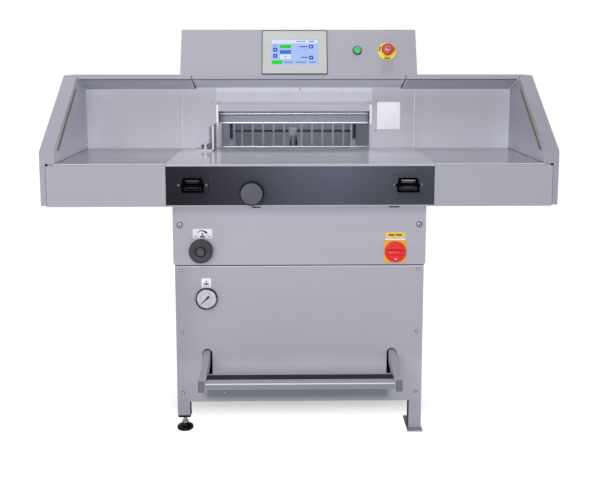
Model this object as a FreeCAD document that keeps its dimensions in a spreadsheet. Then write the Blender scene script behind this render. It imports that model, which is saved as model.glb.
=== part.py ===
import FreeCAD, Part
import os
import re
import Sketcher

# Hydraulic paper cutter, in millimetres.
# X runs to the right, Y from the operator to the rear, Z up from the floor.
# Depths are counted from the table's front edge.

SIZES = {
    # Overall envelope
    "overall_width": 1516,
    "body_width": 786,
    "table_height": 891,
    "table_depth": 1100,
    "head_top": 1288,
    "sheet": 2,
    "plate": 3,
    "seat_gap": 0.3,
    "shaft_gap": 0.05,
    # Lower body
    "body_front": 152,
    "rear_overhang": 260,
    "body_bottom": 98,
    "cover_seam": 552,
    "cover_lap": 14,
    "upper_front": 140,
    "upper_extra": 5,
    "upper_top": 764,
    "corner_round": 8,
    "leg_size": 38,
    "leg_wall": 3,
    "rail_height": 38,
    "cap_height": 6,
    "cap_insert": 15,
    "left_leg_end": 46,
    "foot_plate_width": 48,
    "foot_plate_front": 134,
    "foot_plate_rear": 240,
    "foot_plate_height": 6,
    "floor_bolt_radius": 5.5,
    "floor_bolt_depth": 216,
    "stem_radius": 6,
    "stem_top": 80,
    "pad_radius": 26,
    "pad_rim": 9,
    "pad_neck": 11,
    "pad_height": 20,
    "vent_width": 110,
    "vent_height": 6,
    "vent_pitch": 18,
    "vent_count": 8,
    "vent_start": 640,
    "gland_radius": 14,
    "gland_length": 22,
    "gland_bore": 5,
    "gland_height": 190,
    "gland_set": 93,
    # Table, apron and fascia
    "table_lip": 7,
    "table_thick": 40,
    "bed_front": 150,
    "apron_bottom": 764.5,
    "apron_flange": 4.5,
    "fascia_thick": 3,
    "wing_skin": 17,
    "side_apron_line": 886,
    "groove": 1.5,
    "table_seam": 0.5,
    # Wings, walls and hoods
    "wing_thick": 42,
    "wing_knee": 927,
    "wing_bottom": 768,
    "lip_depth": 292,
    "hood_top": 1140,
    "hood_lip": 1128.5,
    "wall_depth": 399,
    "wall_top": 1098,
    "side_wall_top": 1092,
    "hood_return": 10,
    "hood_joint_set": 47,
    "hood_gap": 2,
    "curtain_front": 47,
    "curtain_low": 926,
    "curtain_rear": 273,
    "curtain_high": 1097,
    "curtain_slot": 5,
    "curtain_bar": 14,
    # Throat and cutting frame
    "throat_centre": -15.5,
    "column_width": 132,
    "strip_width": 7,
    "strip_depth": 10,
    "strip_height": 149,
    "throat_top": 1043,
    "guard_bottom": 1016,
    "guard_step": 4,
    "column_front": 462,
    "column_depth": 178,
    "column_top": 1140,
    "cheek_thick": 8,
    "beam_front": 470,
    "beam_thick": 35,
    "beam_inset": 13,
    "guide_set": 100,
    "guide_height": 90,
    "guide_bar": 16,
    # Head
    "head_inset": 18,
    "head_tilt": 21.8,
    "head_overhang": 60,
    "head_skirt": 1060,
    # Clamp
    "clamp_gap": 2,
    "clamp_front": 459,
    "clamp_foot_depth": 90,
    "clamp_web_set": 21,
    "clamp_bottom": 968,
    "clamp_foot_height": 37,
    "clamp_top": 1088,
    "clamp_bevel": 7,
    "comb_slot": 10,
    "comb_depth": 49,
    "comb_height": 80,
    "clamp_axis": 520,
    "clamp_rod": 18,
    "clamp_rod_top": 1250,
    "clamp_cylinder": 45,
    "clamp_cylinder_top": 1275,
    "cylinder_end": 8,
    "post_radius": 12.5,
    "post_spread": 170,
    "post_top": 1240,
    # Knife
    "blade_face": 446,
    "blade_thick": 10,
    "blade_low": 1008,
    "blade_high": 1098,
    "blade_start": 23.5,
    "blade_extra": 53,
    "bevel_depth": 8,
    "bevel_height": 22,
    "carrier_thick": 34,
    "carrier_low": 1030,
    "carrier_high": 1135,
    "carrier_end": 45,
    "carrier_extra": 120,
    "knife_rake": 15,
    "knife_rod": 12,
    "rod_inset": 25,
    "rod_top": 1050,
    "rod_length": 330,
    "cylinder_radius": 30,
    "cylinder_start": 270,
    "cylinder_length": 250,
    "mount_length": 90,
    "mount_width": 76,
    "mount_height": 50,
    "stick_width": 15,
    "stick_depth": 12,
    "stick_extra": 63,
    # Back gauge
    "gauge_clearance": 27,
    "gauge_depth_set": 124,
    "gauge_plate": 10,
    "gauge_height": 93,
    "finger_length": 45,
    "finger_width": 8,
    "finger_height": 75,
    "finger_first": 36,
    "finger_tail": 33.2,
    "finger_count": 5,
    "finger_margin": 5.5,
    "slot_width": 26,
    "slot_front": 476,
    "slot_end": 10,
    "carriage_width": 24,
    "carriage_lead": 4,
    "carriage_length": 63,
    "carriage_lift": 1,
    "bracket_width": 32,
    "bracket_height": 13,
    "bracket_gap": 2,
    "screw_radius": 8,
    "screw_drop": 23,
    "motor_size": 42,
    "motor_set": 50,
    "motor_length": 48,
    # Rear guard
    "guard_inset": 26,
    "guard_sheet": 5,
    "guard_front": 712,
    "guard_hinge_height": 1048,
    "guard_rear_set": 10,
    "guard_low": 985,
    "hinge_set": 5,
    "hinge_pin": 3,
    "hinge_length": 40,
    "hinge_lug": 10,
    "lug_rise": 12,
    "lug_notch": 34,
    "hinge_margin": 134,
    # Hydraulic unit
    "tray_height": 32,
    "tank_width": 400,
    "tank_depth": 320,
    "tank_height": 215,
    "tank_front": 460,
    "filler_radius": 20,
    "filler_set": 60,
    "motor_radius": 75,
    "motor_height": 240,
    "motor_offset": -90,
    "motor_flange": 12,
    "cowl_height": 30,
    "terminal_box": 80,
    "valve_width": 110,
    "valve_depth": 80,
    "valve_height": 80,
    "valve_lap": 20,
    "coil_radius": 18,
    "coil_height": 60,
    # Pedal
    "arm_width": 21,
    "arm_set": 97,
    "arm_height": 36,
    "arm_low": 194,
    "arm_rise": 13,
    "pedal_pivot": 260,
    "pedal_shaft": 10,
    "bearing_radius": 22,
    "bearing_length": 13,
    "tread_depth": 61,
    "tread_low": 203,
    "tread_high": 224,
    "rubber_front": 29,
    "rubber_sink": 3,
    "rubber_proud": 2,
    "arm_slot_width": 31,
    "arm_slot_low": 189.5,
    "arm_slot_high": 275,
    "arm_slot_set": 98.5,
    # Controls on the front
    "knob_set": 85,
    "knob_rise": 47.5,
    "knob_radius": 37,
    "knob_length": 26,
    "knob_hub": 15.5,
    "knob_chamfer": 6,
    "knob_shaft": 5,
    "gauge_set": 98.5,
    "gauge_drop": 111,
    "bezel_radius": 34.5,
    "bezel_proud": 12,
    "dial_radius": 31,
    "dial_sink": 7,
    "case_radius": 29,
    "case_length": 38,
    "needle_length": 24,
    "needle_tail": 9,
    "needle_width": 2,
    "needle_hub": 2.5,
    "switch_set": 93.5,
    "switch_rise": 42,
    "switch_plate": 69,
    "switch_knob": 33,
    "switch_proud": 20,
    "switch_body": 48,
    "switch_body_length": 50,
    "grip_width": 14,
    "grip_proud": 8,
    "button_set": 78,
    "button_height": 829,
    "button_base_width": 92,
    "button_base_height": 55,
    "shroud_width": 66,
    "shroud_narrow": 56,
    "shroud_height": 46,
    "shroud_proud": 16,
    "shroud_wall": 6,
    "shroud_depth": 24,
    "hand_button_width": 42,
    "hand_button_height": 30,
    "hand_button_sink": 12,
    "hand_button_length": 14,
    "button_stem": 5,
    "dial_set": 251,
    "dial_height": 806.5,
    "wheel_radius": 35,
    "wheel_proud": 28,
    "wheel_rim": 3,
    "wheel_shaft": 6,
    # Controls on the head
    "display_left": -120,
    "display_width": 212,
    "display_low": 3.5,
    "display_length": 151,
    "display_thick": 5,
    "screen_left": -89.5,
    "screen_width": 152,
    "screen_low": 35,
    "screen_length": 87,
    "start_set": 193,
    "start_along": 86,
    "start_ring": 15.5,
    "start_cap": 12,
    "start_proud": 7,
    "mushroom_set": 96,
    "stop_along": 83,
    "stop_plate": 30,
    "stop_cap": 20,
    "stop_neck": 12,
    "stop_proud": 30,
    "cap_thick": 14,
    "dome_round": 5,
    # Fasteners and stop
    "large_screw": 9,
    "small_screw": 5.5,
    "wall_screw": 3.5,
    "head_height": 2.5,
    "screw_set": 19,
    "large_screw_rise": 128,
    "stop_set": 6.5,
    "stop_height": 85,
    "stop_front": 312,
    "stop_flange": 60,
    "row_gap": 201.5,
    "row_low": 30,
    "low_screw_set": 151.5,
    "edge_screw": 12.5,
    "guard_screw": 6,
    "strip_screw": 59,
    "centre_screw": 21.5,
    "hook_width": 25,
    "hook_height": 9,
    "hook_drop": 30,
    "hook_left_set": 257,
    "hook_right_set": 94,
}

PLACES = {
    "front": "wheel_proud - (table_depth + wheel_proud) / 2",
    "half_body": "body_width / 2",
    "body_rear": "table_depth - rear_overhang",
    "column_rear": "column_front + column_depth",
    "head_rear": "column_rear + head_overhang",
    "head_width": "body_width - head_inset",
    "upper_width": "body_width + upper_extra",
    "guard_width": "body_width - guard_inset",
    "throat_width": "body_width - 2 * column_width",
    "hood_joint": "half_body - hood_joint_set",
    "arm_offset": "half_body - arm_set",
    "arm_slot_offset": "half_body - arm_slot_set",
    "button_offset": "half_body - button_set",
    "knob_offset": "knob_set - half_body",
    "gauge_offset": "gauge_set - half_body",
    "switch_offset": "half_body - switch_set",
    "dial_offset": "dial_set - half_body",
    "gland_offset": "gland_set - half_body",
    "screw_offset": "half_body - screw_set",
    "switch_height": "cover_seam + switch_rise",
    "knob_height": "cover_seam + knob_rise",
    "gauge_centre": "cover_seam - gauge_drop",
    "large_screw_height": "cover_seam + large_screw_rise",
    "motor_front": "table_depth - motor_set",
    "slot_rear": "motor_front - slot_end",
    "guard_rear": "table_depth - guard_rear_set",
    "guide_rear": "table_depth - guide_set",
    "gauge_face": "table_depth - gauge_depth_set",
    "carriage_front": "gauge_face - carriage_lead",
    "carriage_rear": "carriage_front + carriage_length",
    "half_span": "overall_width / 2",
    "side_outer": "half_span - wing_skin",
    "frame_face": "half_body - sheet",
    "leg_inner": "frame_face - leg_size",
    "leg_front": "body_front + sheet",
    "rear_leg": "body_rear - sheet - leg_size",
    "leg_centre": "frame_face - leg_size / 2",
    "table_under": "table_height - table_thick",
    "carriage_low": "table_under + carriage_lift",
    "side_inner": "half_body + table_seam",
    "wing_inner": "half_span - wing_thick",
    "wing_slope": "atan((hood_top - wing_knee) / lip_depth)",
    "hood_rear": "wall_depth + hood_return",
    "throat_left": "throat_centre - throat_width / 2",
    "throat_right": "throat_centre + throat_width / 2",
    "stop_left": "throat_left - stop_set",
    "blade_left": "throat_left - blade_start",
    "blade_length": "throat_width + blade_extra",
    "carrier_left": "blade_left - carrier_end",
    "carrier_length": "blade_length + carrier_extra",
    "rod_top_offset": "carrier_left + carrier_length - rod_inset",
    "stick_length": "throat_width + stick_extra",
    "gauge_width": "throat_width - gauge_clearance",
    "finger_end": "gauge_width / 2 - finger_margin",
    "finger_pitch": "(finger_end - finger_tail - finger_first) / (finger_count - 1)",
    "edge_left": "throat_left - 2",
    "edge_right": "throat_right + 3",
    "slot_x": "throat_centre - 0.5",
    "clamp_rear": "clamp_front + clamp_foot_depth",
    "blade_rear": "blade_face + blade_thick",
    "carrier_front": "blade_face - carrier_thick",
    "carrier_axis": "blade_face - carrier_thick / 2",
    "screw_z": "table_height - screw_drop",
    "plate_face": "gauge_face + finger_length",
    "arm_lean": "tan(arm_rise)",
    "pivot_z": "arm_low + arm_height / 2 + pedal_pivot * arm_lean",
    "head_lean": "(head_top - hood_top) * tan(head_tilt)",
    "tray_top": "body_bottom + plate",
    "tank_top": "tray_top + tank_height",
    "half_head": "head_width / 2",
    "start_offset": "half_head - start_set",
    "stop_offset": "half_head - mushroom_set",
    "hinge_spread": "half_head - hinge_margin",
    "hinge_y": "head_rear + hinge_set",
    "hinge_z": "guard_hinge_height - guard_sheet / 2",
}

doc = FreeCAD.newDocument("PaperCutter")


def reference(formula, within="Places"):
    """Points each plain name in a formula at its sheet cell."""
    def cell(match):
        word = match.group(0)
        if word in SIZES:
            return "Sizes." + word
        if word in PLACES:
            return word if within == "own" else "Places." + word
        return word
    return re.sub(r"[a-z][a-z_]*", cell, str(formula))


def fill_sheet(name, cells, text):
    sheet = doc.addObject("Spreadsheet::Sheet", name)
    for row, (alias, value) in enumerate(cells.items(), start=1):
        sheet.set(f"A{row}", alias)
        sheet.set(f"B{row}", text(value))
        sheet.setAlias(f"B{row}", alias)
    doc.recompute()
    return sheet


sizes = fill_sheet("Sizes", SIZES, str)
places = fill_sheet("Places", PLACES, lambda formula: "=" + reference(formula, "own"))


def value(formula):
    """The present value of a formula, in millimetres or degrees."""
    result = doc.Sizes.evalExpression(reference(formula))
    return float(getattr(result, "Value", result))


def bind(thing, **formulas):
    for prop, formula in formulas.items():
        thing.setExpression(prop.replace("__", "."), reference(formula))
    return thing


def place(thing, x=0, y=0, z=0):
    """Sets a place, with Y counted from the table's front edge."""
    return bind(
        thing,
        Placement__Base__x=x,
        Placement__Base__y=f"front + {y}",
        Placement__Base__z=z,
    )


def brick(label, x, y, z):
    """A box between two planes on each axis."""
    block = doc.addObject("Part::Box", label)
    bind(
        block,
        Length=f"({x[1]}) - ({x[0]})",
        Width=f"({y[1]}) - ({y[0]})",
        Height=f"({z[1]}) - ({z[0]})",
    )
    return place(block, x[0], f"({y[0]})", z[0])


AXES = {
    "X": FreeCAD.Rotation(FreeCAD.Vector(0, 1, 0), 90),
    "Y": FreeCAD.Rotation(FreeCAD.Vector(1, 0, 0), -90),
    "Z": FreeCAD.Rotation(),
}


def rod(label, axis, base, radius, length):
    """A cylinder from its base point along an axis."""
    bar = doc.addObject("Part::Cylinder", label)
    bar.Placement = FreeCAD.Placement(FreeCAD.Vector(), AXES[axis])
    bind(bar, Radius=radius, Height=length)
    return place(bar, base[0], f"({base[1]})", base[2])


def cone(label, axis, base, low_radius, high_radius, length):
    horn = doc.addObject("Part::Cone", label)
    horn.Placement = FreeCAD.Placement(FreeCAD.Vector(), AXES[axis])
    bind(horn, Radius1=low_radius, Radius2=high_radius, Height=length)
    return place(horn, base[0], f"({base[1]})", base[2])


def turned(label, base, radius, length, turn_axis, angle):
    """A cylinder whose axis is turned away from vertical."""
    bar = doc.addObject("Part::Cylinder", label)
    bar.Placement = FreeCAD.Placement(FreeCAD.Vector(), FreeCAD.Rotation(turn_axis, 10))
    bind(bar, Radius=radius, Height=length, Placement__Rotation__Angle=angle)
    return place(bar, base[0], f"({base[1]})", base[2])


PLANES = {"X": "YZ_Plane", "Y": "XZ_Plane", "Z": "XY_Plane"}


def prism(label, axis, outline, low, high):
    """A body padded along an axis from a closed outline of straight sides."""
    body = doc.addObject("PartDesign::Body", label)
    sketch = body.newObject("Sketcher::SketchObject", label + "_outline")
    plane = next(f for f in body.Origin.OriginFeatures if f.Role == PLANES[axis])
    sketch.AttachmentSupport = [(plane, "")]
    sketch.MapMode = "FlatFace"
    corners = [FreeCAD.Vector(value(a), value(b), 0) for a, b in outline]
    count = len(corners)
    for index in range(count):
        sketch.addGeometry(Part.LineSegment(corners[index], corners[(index + 1) % count]))
    for index in range(count):
        sketch.addConstraint(Sketcher.Constraint("Coincident", index, 2, (index + 1) % count, 1))
    for index, pair in enumerate(outline):
        for kind, formula in zip(("DistanceX", "DistanceY"), pair):
            spot = sketch.addConstraint(Sketcher.Constraint(kind, -1, 1, index, 1, value(formula)))
            sketch.setExpression(f"Constraints[{spot}]", reference(formula))
    pad = body.newObject("PartDesign::Pad", label + "_pad")
    pad.Profile = sketch
    pad.Reversed = axis == "Y"
    bind(pad, Length=f"({high}) - ({low})")
    if axis == "X":
        return place(body, low, 0, 0)
    if axis == "Y":
        return place(body, 0, f"({low})", 0)
    return place(body, 0, 0, low)


def cut(label, base, *tools):
    part = doc.addObject("Part::Cut", label)
    part.Base = base
    part.Tool = tools[0] if len(tools) == 1 else fuse(label + "_openings", *tools)
    return part


def fuse(label, *pieces):
    part = doc.addObject("Part::MultiFuse", label)
    part.Shapes = list(pieces)
    return part


def group(label, *pieces):
    """Separate solids that share one node."""
    part = doc.addObject("Part::Compound", label)
    part.Links = list(pieces)
    return part


def softened(label, source, radius, pick):
    """Rounds the edges of a solid that pick accepts."""
    doc.recompute()
    size = value(radius)
    part = doc.addObject("Part::Fillet", label)
    part.Base = source
    part.Edges = [
        (index, size, size)
        for index, edge in enumerate(source.Shape.Edges, start=1)
        if pick(edge)
    ]
    return part


def endwise(edge):
    """True for an edge that runs along Y."""
    box = edge.BoundBox
    return box.XLength < 0.01 and box.ZLength < 0.01


# Stand

def post(label, x, y, bottom):
    """A square leg tube."""
    outer = brick(label + "_outer", x, y, (bottom, "table_under"))
    inner_x = (f"({x[0]}) + leg_wall", f"({x[1]}) - leg_wall")
    inner_y = (f"({y[0]}) + leg_wall", f"({y[1]}) - leg_wall")
    inner = brick(label + "_bore", inner_x, inner_y, (bottom, "table_under"))
    return outer, inner


def stand(side, x, bearing, bottom):
    """Two legs joined by rails, with the bearing boss of the pedal shaft."""
    name = "stand_" + side
    front_y = ("leg_front", "leg_front + leg_size")
    rear_y = ("rear_leg", "rear_leg + leg_size")
    front, front_bore = post(name + "_front", x, front_y, bottom)
    rear, rear_bore = post(name + "_rear", x, rear_y, bottom)
    rails = []
    heights = (
        "body_bottom",
        "pivot_z - rail_height / 2",
        "table_under - rail_height",
    )
    for index, height in enumerate(heights):
        rail_z = (height, f"{height} + rail_height")
        rails.append(brick(f"{name}_rail_{index}", x, ("leg_front + leg_size", "rear_leg"), rail_z))
    axle = (bearing[0], "pedal_pivot", "pivot_z")
    boss = rod(name + "_boss", "X", axle, "bearing_radius", bearing[1])
    bore = rod(name + "_bore", "X", axle, "pedal_shaft + shaft_gap", bearing[1])
    pieces = [front, rear, boss] + rails
    if side == "right":
        pieces += foot_plates()
    return cut(name, fuse(name + "_frame", *pieces), front_bore, rear_bore, bore)


def foot_plates():
    """Floor plates welded under the right legs, with one bolt hole behind or before each leg."""
    plates = []
    mid = "(body_front + body_rear)"
    spans = {
        "front": ("foot_plate_front", "foot_plate_rear"),
        "rear": (f"{mid} - foot_plate_rear", f"{mid} - foot_plate_front"),
    }
    bolts = {"front": "floor_bolt_depth", "rear": f"{mid} - floor_bolt_depth"}
    centre = "leg_centre"
    for end, span in spans.items():
        x = (f"{centre} - foot_plate_width / 2", f"{centre} + foot_plate_width / 2")
        slab = brick("foot_plate_" + end + "_slab", x, span, (0, "foot_plate_height"))
        hole = rod(
            "foot_plate_" + end + "_hole",
            "Z",
            (centre, bolts[end], 0),
            "floor_bolt_radius",
            "foot_plate_height",
        )
        plates.append(cut("foot_plate_" + end, slab, hole))
    return plates


def leg_caps():
    """End plugs of the left legs, each with the hole that the levelling stem runs in."""
    caps = []
    for end, start in (("front", "leg_front"), ("rear", "rear_leg")):
        x = ("-frame_face", "-leg_inner")
        y = (start, f"{start} + leg_size")
        low = "left_leg_end"
        flange = brick(f"cap_{end}_flange", x, y, (low, f"{low} + cap_height"))
        wall = "leg_wall + 0.2"
        plug = brick(
            f"cap_{end}_plug",
            (f"-frame_face + {wall}", f"-leg_inner - ({wall})"),
            (f"{start} + {wall}", f"{start} + leg_size - ({wall})"),
            (f"{low} + cap_height", f"{low} + cap_height + cap_insert"),
        )
        hole = rod(
            f"cap_{end}_hole",
            "Z",
            ("-leg_centre", f"{start} + leg_size / 2", low),
            "stem_radius + seat_gap",
            "cap_height + cap_insert",
        )
        caps.append(cut(f"cap_{end}", fuse(f"cap_{end}_solid", flange, plug), hole))
    return group("leg_caps", *caps)


def levelling_foot(end, start):
    """A rubber-soled pad with its nut and threaded stem."""
    name = "levelling_foot_" + end
    at = ("-leg_centre", f"{start} + leg_size / 2")
    pad = rod(name + "_pad", "Z", at + (0,), "pad_radius", "pad_rim")
    neck_height = "pad_height - pad_rim"
    neck = cone(name + "_neck", "Z", at + ("pad_rim",), "pad_radius - 3", "pad_neck", neck_height)
    stem = rod(name + "_stem", "Z", at + ("pad_rim",), "stem_radius", "stem_top - pad_rim")
    return fuse(name, pad, neck, stem)


stand_left = stand(
    "left",
    ("-frame_face", "-leg_inner"),
    ("-leg_inner", "bearing_length"),
    "left_leg_end + cap_height",
)
stand_right = stand(
    "right",
    ("leg_inner", "frame_face"),
    ("leg_inner - bearing_length", "bearing_length"),
    "foot_plate_height",
)
caps = leg_caps()
foot_front = levelling_foot("front", "leg_front")
foot_rear = levelling_foot("rear", "rear_leg")


# Body covers

def front_lower_cover():
    """The lower front sheet, cut up between the legs, with slots for the pedal arms."""
    outline = [
        ("-half_body", "left_leg_end + cap_height"),
        ("-leg_inner", "left_leg_end + cap_height"),
        ("-leg_inner", "body_bottom"),
        ("leg_inner", "body_bottom"),
        ("leg_inner", "foot_plate_height"),
        ("half_body", "foot_plate_height"),
        ("half_body", "cover_seam + cover_lap"),
        ("-half_body", "cover_seam + cover_lap"),
    ]
    sheet_body = prism("lower_sheet", "Y", outline, "body_front", "body_front + sheet")
    deep = ("body_front - 1", "body_front + sheet + 1")
    openings = []
    for side, sign in (("left", "-"), ("right", "")):
        centre = f"{sign}arm_slot_offset"
        radius = "arm_slot_width / 2"
        openings.append(
            brick(
                f"arm_slot_{side}_straight",
                (f"{centre} - {radius}", f"{centre} + {radius}"),
                deep,
                ("arm_slot_low", f"arm_slot_high - {radius}"),
            )
        )
        openings.append(
            rod(
                f"arm_slot_{side}_round",
                "Y",
                (centre, deep[0], f"arm_slot_high - {radius}"),
                radius,
                "sheet + 2",
            )
        )
    gauge_spot = ("gauge_offset", deep[0], "gauge_centre")
    openings.append(rod("gauge_opening", "Y", gauge_spot, "case_radius", "sheet + 2"))
    return cut("front_lower_cover", sheet_body, *openings)


def front_upper_cover():
    """The upper front cover: a shallow tray standing proud of the lower sheet."""
    half = "upper_width / 2"
    x = (f"-{half}", half)
    shell = brick("upper_shell", x, ("upper_front", "body_front + 6"), ("cover_seam", "upper_top"))
    doc.recompute()
    low = value("cover_seam")
    rounded = softened(
        "upper_rounded",
        shell,
        "corner_round",
        lambda edge: endwise(edge) and edge.BoundBox.ZMin < low + 0.01,
    )
    hollow = brick(
        "upper_hollow",
        (f"-{half} + sheet", f"{half} - sheet"),
        ("upper_front + sheet", "body_front + 7"),
        ("cover_seam + sheet", "upper_top + 1"),
    )
    flange_relief = brick(
        "upper_relief",
        (f"-{half} + sheet", f"{half} - sheet"),
        ("body_front - seat_gap", "body_front + 7"),
        ("cover_seam - 1", "cover_seam + cover_lap"),
    )
    openings = [hollow, flange_relief]
    for side, centre in (("left", "hook_left_set - half_body"), ("right", "half_body - hook_right_set")):
        openings.append(
            brick(
                f"hook_slot_{side}",
                (f"{centre} - hook_width / 2", f"{centre} + hook_width / 2"),
                ("upper_front - 1", "upper_front + sheet + 1"),
                ("upper_top - hook_drop", "upper_top - hook_drop + hook_height"),
            )
        )
    deep = "upper_front - 1"
    knob_spot = ("knob_offset", deep, "knob_height")
    openings.append(rod("knob_opening", "Y", knob_spot, "knob_shaft + 1", "sheet + 2"))
    switch_x = ("switch_offset - switch_body / 2", "switch_offset + switch_body / 2")
    switch_z = ("switch_height - switch_body / 2", "switch_height + switch_body / 2")
    openings.append(brick("switch_opening", switch_x, (deep, "upper_front + sheet + 1"), switch_z))
    return cut("front_upper_cover", rounded, *openings)


def side_covers():
    sheets = []
    spans = {"left": ("-half_body", "-frame_face"), "right": ("frame_face", "half_body")}
    for side, x in spans.items():
        y = ("leg_front", "body_rear")
        sheets.append(brick("side_cover_" + side, x, y, ("body_bottom", "table_under")))
    return group("side_covers", *sheets)


def rear_cover():
    """The rear sheet with two columns of vent slots and the hole of the cable gland."""
    y = ("body_rear - sheet", "body_rear")
    deep = ("body_rear - sheet - 1", "body_rear + 1")
    panel = brick("rear_sheet", ("-frame_face", "frame_face"), y, ("body_bottom", "table_under"))
    openings = []
    for row in range(int(value("vent_count"))):
        low = f"vent_start + {row} * vent_pitch"
        for side, start in (("left", "-vent_width - 60"), ("right", "60")):
            vent_x = (start, f"{start} + vent_width")
            openings.append(brick(f"vent_{side}_{row}", vent_x, deep, (low, f"{low} + vent_height")))
    gland_spot = ("gland_offset", deep[0], "gland_height")
    openings.append(rod("gland_opening", "Y", gland_spot, "gland_bore + 3 + seat_gap", "sheet + 2"))
    return cut("rear_cover", panel, *openings)


def drip_tray():
    outer = brick(
        "tray_outer",
        ("-leg_inner", "leg_inner"),
        ("leg_front + leg_size", "rear_leg"),
        ("body_bottom", "body_bottom + tray_height"),
    )
    inner = brick(
        "tray_inner",
        ("-leg_inner + plate", "leg_inner - plate"),
        ("leg_front + leg_size + plate", "rear_leg - plate"),
        ("tray_top", "body_bottom + tray_height + 1"),
    )
    return cut("drip_tray", outer, inner)


def power_inlet():
    """The cable gland on the rear cover: a hexagon nut outside and a collar through the sheet."""
    spot = ("gland_offset", "body_rear", "gland_height")
    nut = doc.addObject("Part::Prism", "gland_nut")
    nut.Polygon = 6
    nut.Placement = FreeCAD.Placement(FreeCAD.Vector(), AXES["Y"])
    bind(nut, Circumradius="gland_radius", Height="gland_length / 2")
    place(nut, *spot)
    dome = cone(
        "gland_dome",
        "Y",
        ("gland_offset", "body_rear + gland_length / 2", "gland_height"),
        "gland_radius * 0.85",
        "gland_bore + 3",
        "gland_length / 2",
    )
    start = ("gland_offset", "body_rear - sheet - 4", "gland_height")
    collar = rod("gland_collar", "Y", start, "gland_bore + 3", "sheet + 6")
    bore = rod("gland_hole", "Y", start, "gland_bore", "gland_length + sheet + 6")
    return cut("power_inlet", fuse("gland_solid", nut, dome, collar), bore)


lower_cover = front_lower_cover()
upper_cover = front_upper_cover()
side_sheets = side_covers()
rear_sheet = rear_cover()
tray = drip_tray()
inlet = power_inlet()


# Table, apron and fascia

def knife_point(length):
    """A point down the knife rod, whose travel leans sideways as it falls."""
    return (
        f"rod_top_offset - ({length}) * sin(knife_rake)",
        "carrier_axis",
        f"rod_top - ({length}) * cos(knife_rake)",
    )


def raked(label, start, length, radius):
    """A cylinder along the knife rod, from the far end of its length up to its start."""
    low = knife_point(f"{start} + {length}")
    return turned(label, low, radius, length, FreeCAD.Vector(0, 1, 0), "knife_rake")


def main_table():
    """The cast table: a thin front lip, a thick bed, the gauge slot and the stick groove."""
    half = "half_body"
    outline = [
        (0, "table_height - table_lip"),
        ("bed_front", "table_height - table_lip"),
        ("bed_front", "table_under"),
        ("table_depth", "table_under"),
        ("table_depth", "table_height"),
        (0, "table_height"),
    ]
    bed = prism("table_bed", "X", outline, f"-{half}", half)
    slot = brick(
        "gauge_slot",
        ("slot_x - slot_width / 2", "slot_x + slot_width / 2"),
        ("slot_front", "slot_rear"),
        ("table_under - 1", "table_height + 1"),
    )
    pocket = brick(
        "motor_pocket",
        ("slot_x - motor_size / 2 - seat_gap", "slot_x + motor_size / 2 + seat_gap"),
        ("motor_front", "table_depth + 1"),
        ("table_under - 1", "table_height + 1"),
    )
    bearing = rod(
        "screw_bearing",
        "Y",
        ("slot_x", "slot_front - 12", "screw_z"),
        "screw_radius + shaft_gap",
        "motor_front - slot_front + 13",
    )
    groove = brick("stick_groove", *stick_groove())
    rod_hole = raked("rod_hole", "100", "160", "knife_rod + 4")
    return cut("main_table", bed, slot, pocket, bearing, groove, rod_hole)


def stick_depths(gap):
    """The cutting stick's front and rear, with a gap on each side."""
    middle = "(blade_rear - 5)"
    half = f"(stick_width / 2 + {gap})"
    return (f"{middle} - {half}", f"{middle} + {half}")


def stick_groove():
    """The groove under the blade, open at the table's right edge so that the stick slides out."""
    return (
        ("throat_centre - stick_length / 2 - seat_gap", "half_body + 1"),
        stick_depths("seat_gap"),
        ("table_height - stick_depth", "table_height + 1"),
    )


def side_table(side):
    """A side table pressed as an upturned tray, with a shallow line under its top edge."""
    left = side == "left"
    name = "side_table_" + side
    x = ("-side_outer", "-side_inner") if left else ("side_inner", "side_outer")
    outer = brick(name + "_outer", x, (0, "wall_depth"), ("apron_bottom", "table_height"))
    inner = brick(
        name + "_inner",
        (f"{x[0]} + plate", f"{x[1]} - plate"),
        ("plate", "wall_depth - plate"),
        ("apron_bottom - 1", "table_height - plate"),
    )
    line = brick(
        name + "_line",
        (f"{x[0]} - 1", f"{x[1]} + 1"),
        (-1, "groove / 2"),
        ("side_apron_line", "side_apron_line + groove"),
    )
    return cut(name, outer, inner, line)


def shroud_window(side, gap):
    """The cut-out that a button shroud passes through."""
    sign = "-" if side == "left" else ""
    centre = f"{sign}button_offset"
    return brick(
        f"shroud_window_{side}_{gap}",
        (f"{centre} - shroud_width / 2", f"{centre} + shroud_width / 2"),
        (-1, "fascia_thick + plate + 1"),
        ("button_height - shroud_height / 2", "button_height + shroud_height / 2"),
    )


def dial_bearing(name):
    """The hole that the fine dial's spindle turns in."""
    spot = ("dial_offset", -1, "dial_height")
    return rod(name + "_bearing", "Y", spot, "wheel_shaft + seat_gap", "fascia_thick + plate + 2")


def front_apron():
    """The channel under the table's front lip that carries the fascia."""
    flange = brick(
        "apron_flange_plate",
        ("-half_body", "half_body"),
        (0, "bed_front"),
        ("apron_bottom", "apron_bottom + apron_flange"),
    )
    face = brick(
        "apron_face",
        ("-half_body", "half_body"),
        ("fascia_thick", "fascia_thick + plate"),
        ("apron_bottom", "table_height - table_lip"),
    )
    bearing = dial_bearing("apron")
    windows = [shroud_window(side, "apron") for side in ("left", "right")]
    return cut("front_apron", fuse("apron_solid", flange, face), bearing, *windows)


def fascia_panel():
    panel = brick(
        "fascia_plate",
        ("-half_body", "half_body"),
        (0, "fascia_thick"),
        ("apron_bottom + apron_flange", "table_height - table_lip"),
    )
    bearing = dial_bearing("fascia")
    windows = [shroud_window(side, "fascia") for side in ("left", "right")]
    return cut("fascia_panel", panel, bearing, *windows)


table = main_table()
table_left = side_table("left")
table_right = side_table("right")
apron = front_apron()
fascia = fascia_panel()
stick = brick(
    "cutting_stick",
    ("throat_centre - stick_length / 2", "throat_centre + stick_length / 2"),
    stick_depths("0"),
    ("table_height - stick_depth", "table_height"),
)


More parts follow.
